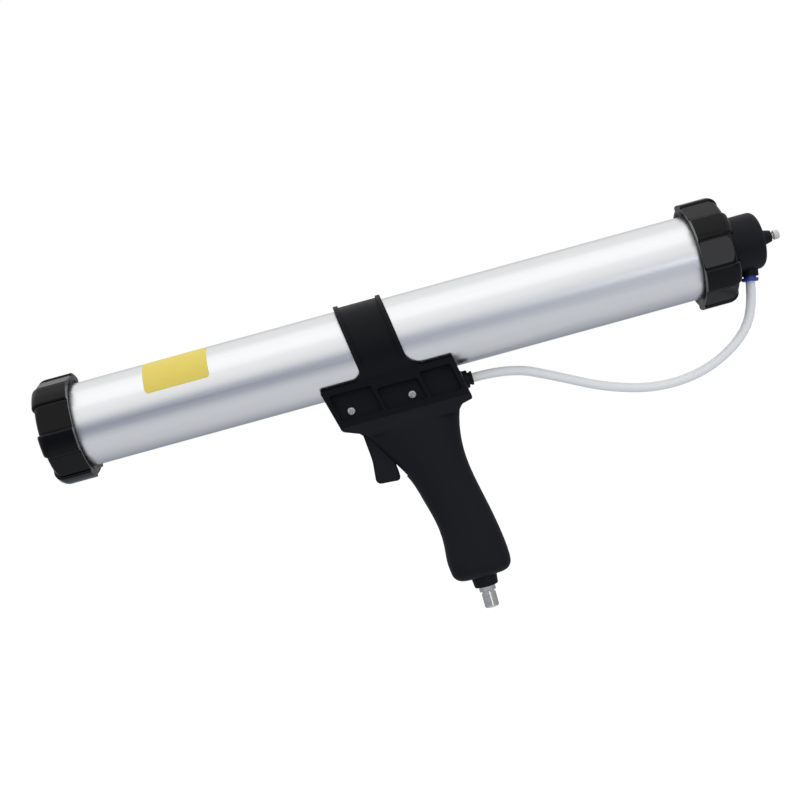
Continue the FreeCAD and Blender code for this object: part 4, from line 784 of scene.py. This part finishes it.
class GUN_OT_stage(bpy.types.Operator):
    """Set up the floor, the lights and the camera"""

    bl_idname = "gun.stage"
    bl_label = "Stage"

    def execute(self, context):
        scene = context.scene
        self.floor(scene.gun_colours)
        self.softbox()
        self.dome(scene)
        self.camera(scene)
        scene.view_settings.view_transform = "Standard"
        return {"FINISHED"}

    def floor(self, colours):
        """Pale floor that glows a little, so that it stays even far behind the object."""
        deselect()
        bpy.ops.mesh.primitive_plane_add(size=FLOOR_SIZE, location=(0, 0, FLOOR_Z))
        floor = bpy.context.object
        floor.name = "studio_floor"
        material = bpy.data.materials.new("pale_floor")
        material.use_nodes = True
        shader = material.node_tree.nodes["Principled BSDF"]
        shader.inputs["Base Color"].default_value = (*(c * FLOOR_LIT_SHARE for c in colours.floor), 1)
        shader.inputs["Roughness"].default_value = FLOOR_ROUGHNESS
        shader.inputs["Emission Color"].default_value = (*colours.floor, 1)
        shader.inputs["Emission Strength"].default_value = FLOOR_GLOW
        floor.data.materials.append(material)
        floor.visible_glossy = False
        floor.visible_diffuse = False

    def softbox(self):
        """Wide soft light from above."""
        bpy.ops.object.light_add(type="AREA", location=SOFTBOX_PLACE)
        lamp = bpy.context.object
        lamp.name = "top_softbox"
        towards_gun = Vector((0, 0, AXIS_Z)) - Vector(SOFTBOX_PLACE)
        lamp.rotation_euler = towards_gun.to_track_quat("-Z", "Y").to_euler()
        lamp.visible_camera = False
        box = lamp.data
        box.shape = "RECTANGLE"
        box.size, box.size_y = SOFTBOX_SIZE
        box.energy = SOFTBOX_BRIGHTNESS * math.pi * box.size * box.size_y

    def dome(self, scene):
        """Soft light all round, bright above and dim under the horizon, with plain white behind the object."""
        world = bpy.data.worlds.new("white_studio")
        world.use_nodes = True
        tree = world.node_tree
        tree.nodes.clear()
        towards = add_node(tree, "ShaderNodeTexCoord").outputs["Generated"]
        axes = add_node(tree, "ShaderNodeSeparateXYZ", {"Vector": towards})
        height = add_node(tree, "ShaderNodeMapRange", {"Value": axes.outputs["Z"], "From Min": -1, "From Max": 1})
        near = self.ramp(tree, height.outputs["Result"], NEAR_DOME)
        far = self.ramp(tree, height.outputs["Result"], FAR_DOME)
        depth = add_node(tree, "ShaderNodeMapRange",
                         {"Value": axes.outputs["Y"], "From Min": -DOME_BLEND, "From Max": DOME_BLEND})
        walls = add_node(tree, "ShaderNodeMix", {"Factor": depth.outputs["Result"], MIX_A: near, MIX_B: far},
                         data_type="RGBA")
        room = add_node(tree, "ShaderNodeBackground", {"Color": walls.outputs[MIX_RESULT], "Strength": DOME_PEAK})
        for middle, brightness, core, edge in WINDOWS:
            aim = add_node(tree, "ShaderNodeVectorMath", {0: towards, 1: middle}, operation="DOT_PRODUCT")
            glow = add_node(tree, "ShaderNodeMapRange",
                            {"Value": aim.outputs["Value"], "From Min": math.cos(edge), "From Max": math.cos(core),
                             "To Max": brightness}, interpolation_type="SMOOTHSTEP")
            window = add_node(tree, "ShaderNodeBackground",
                              {"Color": (*WHITE_LIGHT, 1), "Strength": glow.outputs["Result"]})
            room = add_node(tree, "ShaderNodeAddShader", {0: room.outputs[0], 1: window.outputs[0]})
        white = add_node(tree, "ShaderNodeBackground", {"Color": (*WHITE_LIGHT, 1), "Strength": 1.0})
        path = add_node(tree, "ShaderNodeLightPath").outputs
        behind = add_node(tree, "ShaderNodeMath", {0: path["Is Camera Ray"], 1: path["Is Transmission Ray"]},
                          operation="MAXIMUM")
        mix = add_node(tree, "ShaderNodeMixShader", {0: behind.outputs[0], 1: room.outputs[0], 2: white.outputs[0]})
        add_node(tree, "ShaderNodeOutputWorld", {"Surface": mix.outputs[0]})
        scene.world = world

    def ramp(self, tree, height, table):
        """Colour by height, as a share of the brightest light."""
        node = add_node(tree, "ShaderNodeValToRGB", {"Fac": height})
        elements = node.color_ramp.elements
        while len(elements) < len(table):
            elements.new(0.5)
        for element, (degrees, brightness) in zip(elements, table):
            element.position = (math.sin(math.radians(degrees)) + 1) / 2
            low_tint = HAZE_LIGHT if degrees > HAZE_FOOT else COOL_LIGHT
            tint = low_tint if degrees < 0 else WHITE_LIGHT
            element.color = (*(c * brightness / DOME_PEAK for c in tint), 1)
        return node.outputs["Color"]

    def camera(self, scene):
        """Camera square to the barrel's side, rolled so that the barrel climbs to the right."""
        bpy.ops.object.camera_add()
        camera = bpy.context.object
        right = Vector((math.cos(CAMERA_ROLL), 0, -math.sin(CAMERA_ROLL)))
        up = Vector((math.sin(CAMERA_ROLL), 0, math.cos(CAMERA_ROLL)))
        turn = Matrix((right, up, right.cross(up))).transposed()
        camera.matrix_world = Matrix.Translation(CAMERA_PLACE) @ turn.to_4x4()
        camera.data.lens = CAMERA_LENS_MM
        camera.data.sensor_width = SENSOR_MM
        camera.data.clip_start = CLIP_START
        scene.camera = camera


class GUN_PT_sidebar(bpy.types.Panel):
    """Buttons and sizes of the caulking gun"""

    bl_idname = "GUN_PT_sidebar"
    bl_label = "Caulking gun"
    bl_space_type = "VIEW_3D"
    bl_region_type = "UI"
    bl_category = "Caulking gun"

    def draw(self, context):
        for step in STEPS:
            self.layout.operator(step.bl_idname)
        for group in (context.scene.gun_sizes, context.scene.gun_colours):
            box = self.layout.box()
            for name in group.__annotations__:
                box.prop(group, name)


STEPS = (GUN_OT_finish_solids, GUN_OT_air_hose, GUN_OT_sticker, GUN_OT_clamp_screws, GUN_OT_clamp_nuts,
         GUN_OT_springs, GUN_OT_threads, GUN_OT_stage)
CLASSES = (GunSizes, GunColours, *STEPS, GUN_PT_sidebar)


def register():
    for cls in CLASSES:
        bpy.utils.register_class(cls)
    bpy.types.Scene.gun_sizes = PointerProperty(type=GunSizes)
    bpy.types.Scene.gun_colours = PointerProperty(type=GunColours)


def unregister():
    del bpy.types.Scene.gun_colours
    del bpy.types.Scene.gun_sizes
    for cls in reversed(CLASSES):
        bpy.utils.unregister_class(cls)


def main():
    register()
    bpy.ops.gun.finish_solids()
    bpy.ops.gun.air_hose()
    bpy.ops.gun.sticker()
    bpy.ops.gun.clamp_screws()
    bpy.ops.gun.clamp_nuts()
    bpy.ops.gun.springs()
    bpy.ops.gun.threads()
    bpy.ops.gun.stage()


if __name__ == "__main__":
    main()
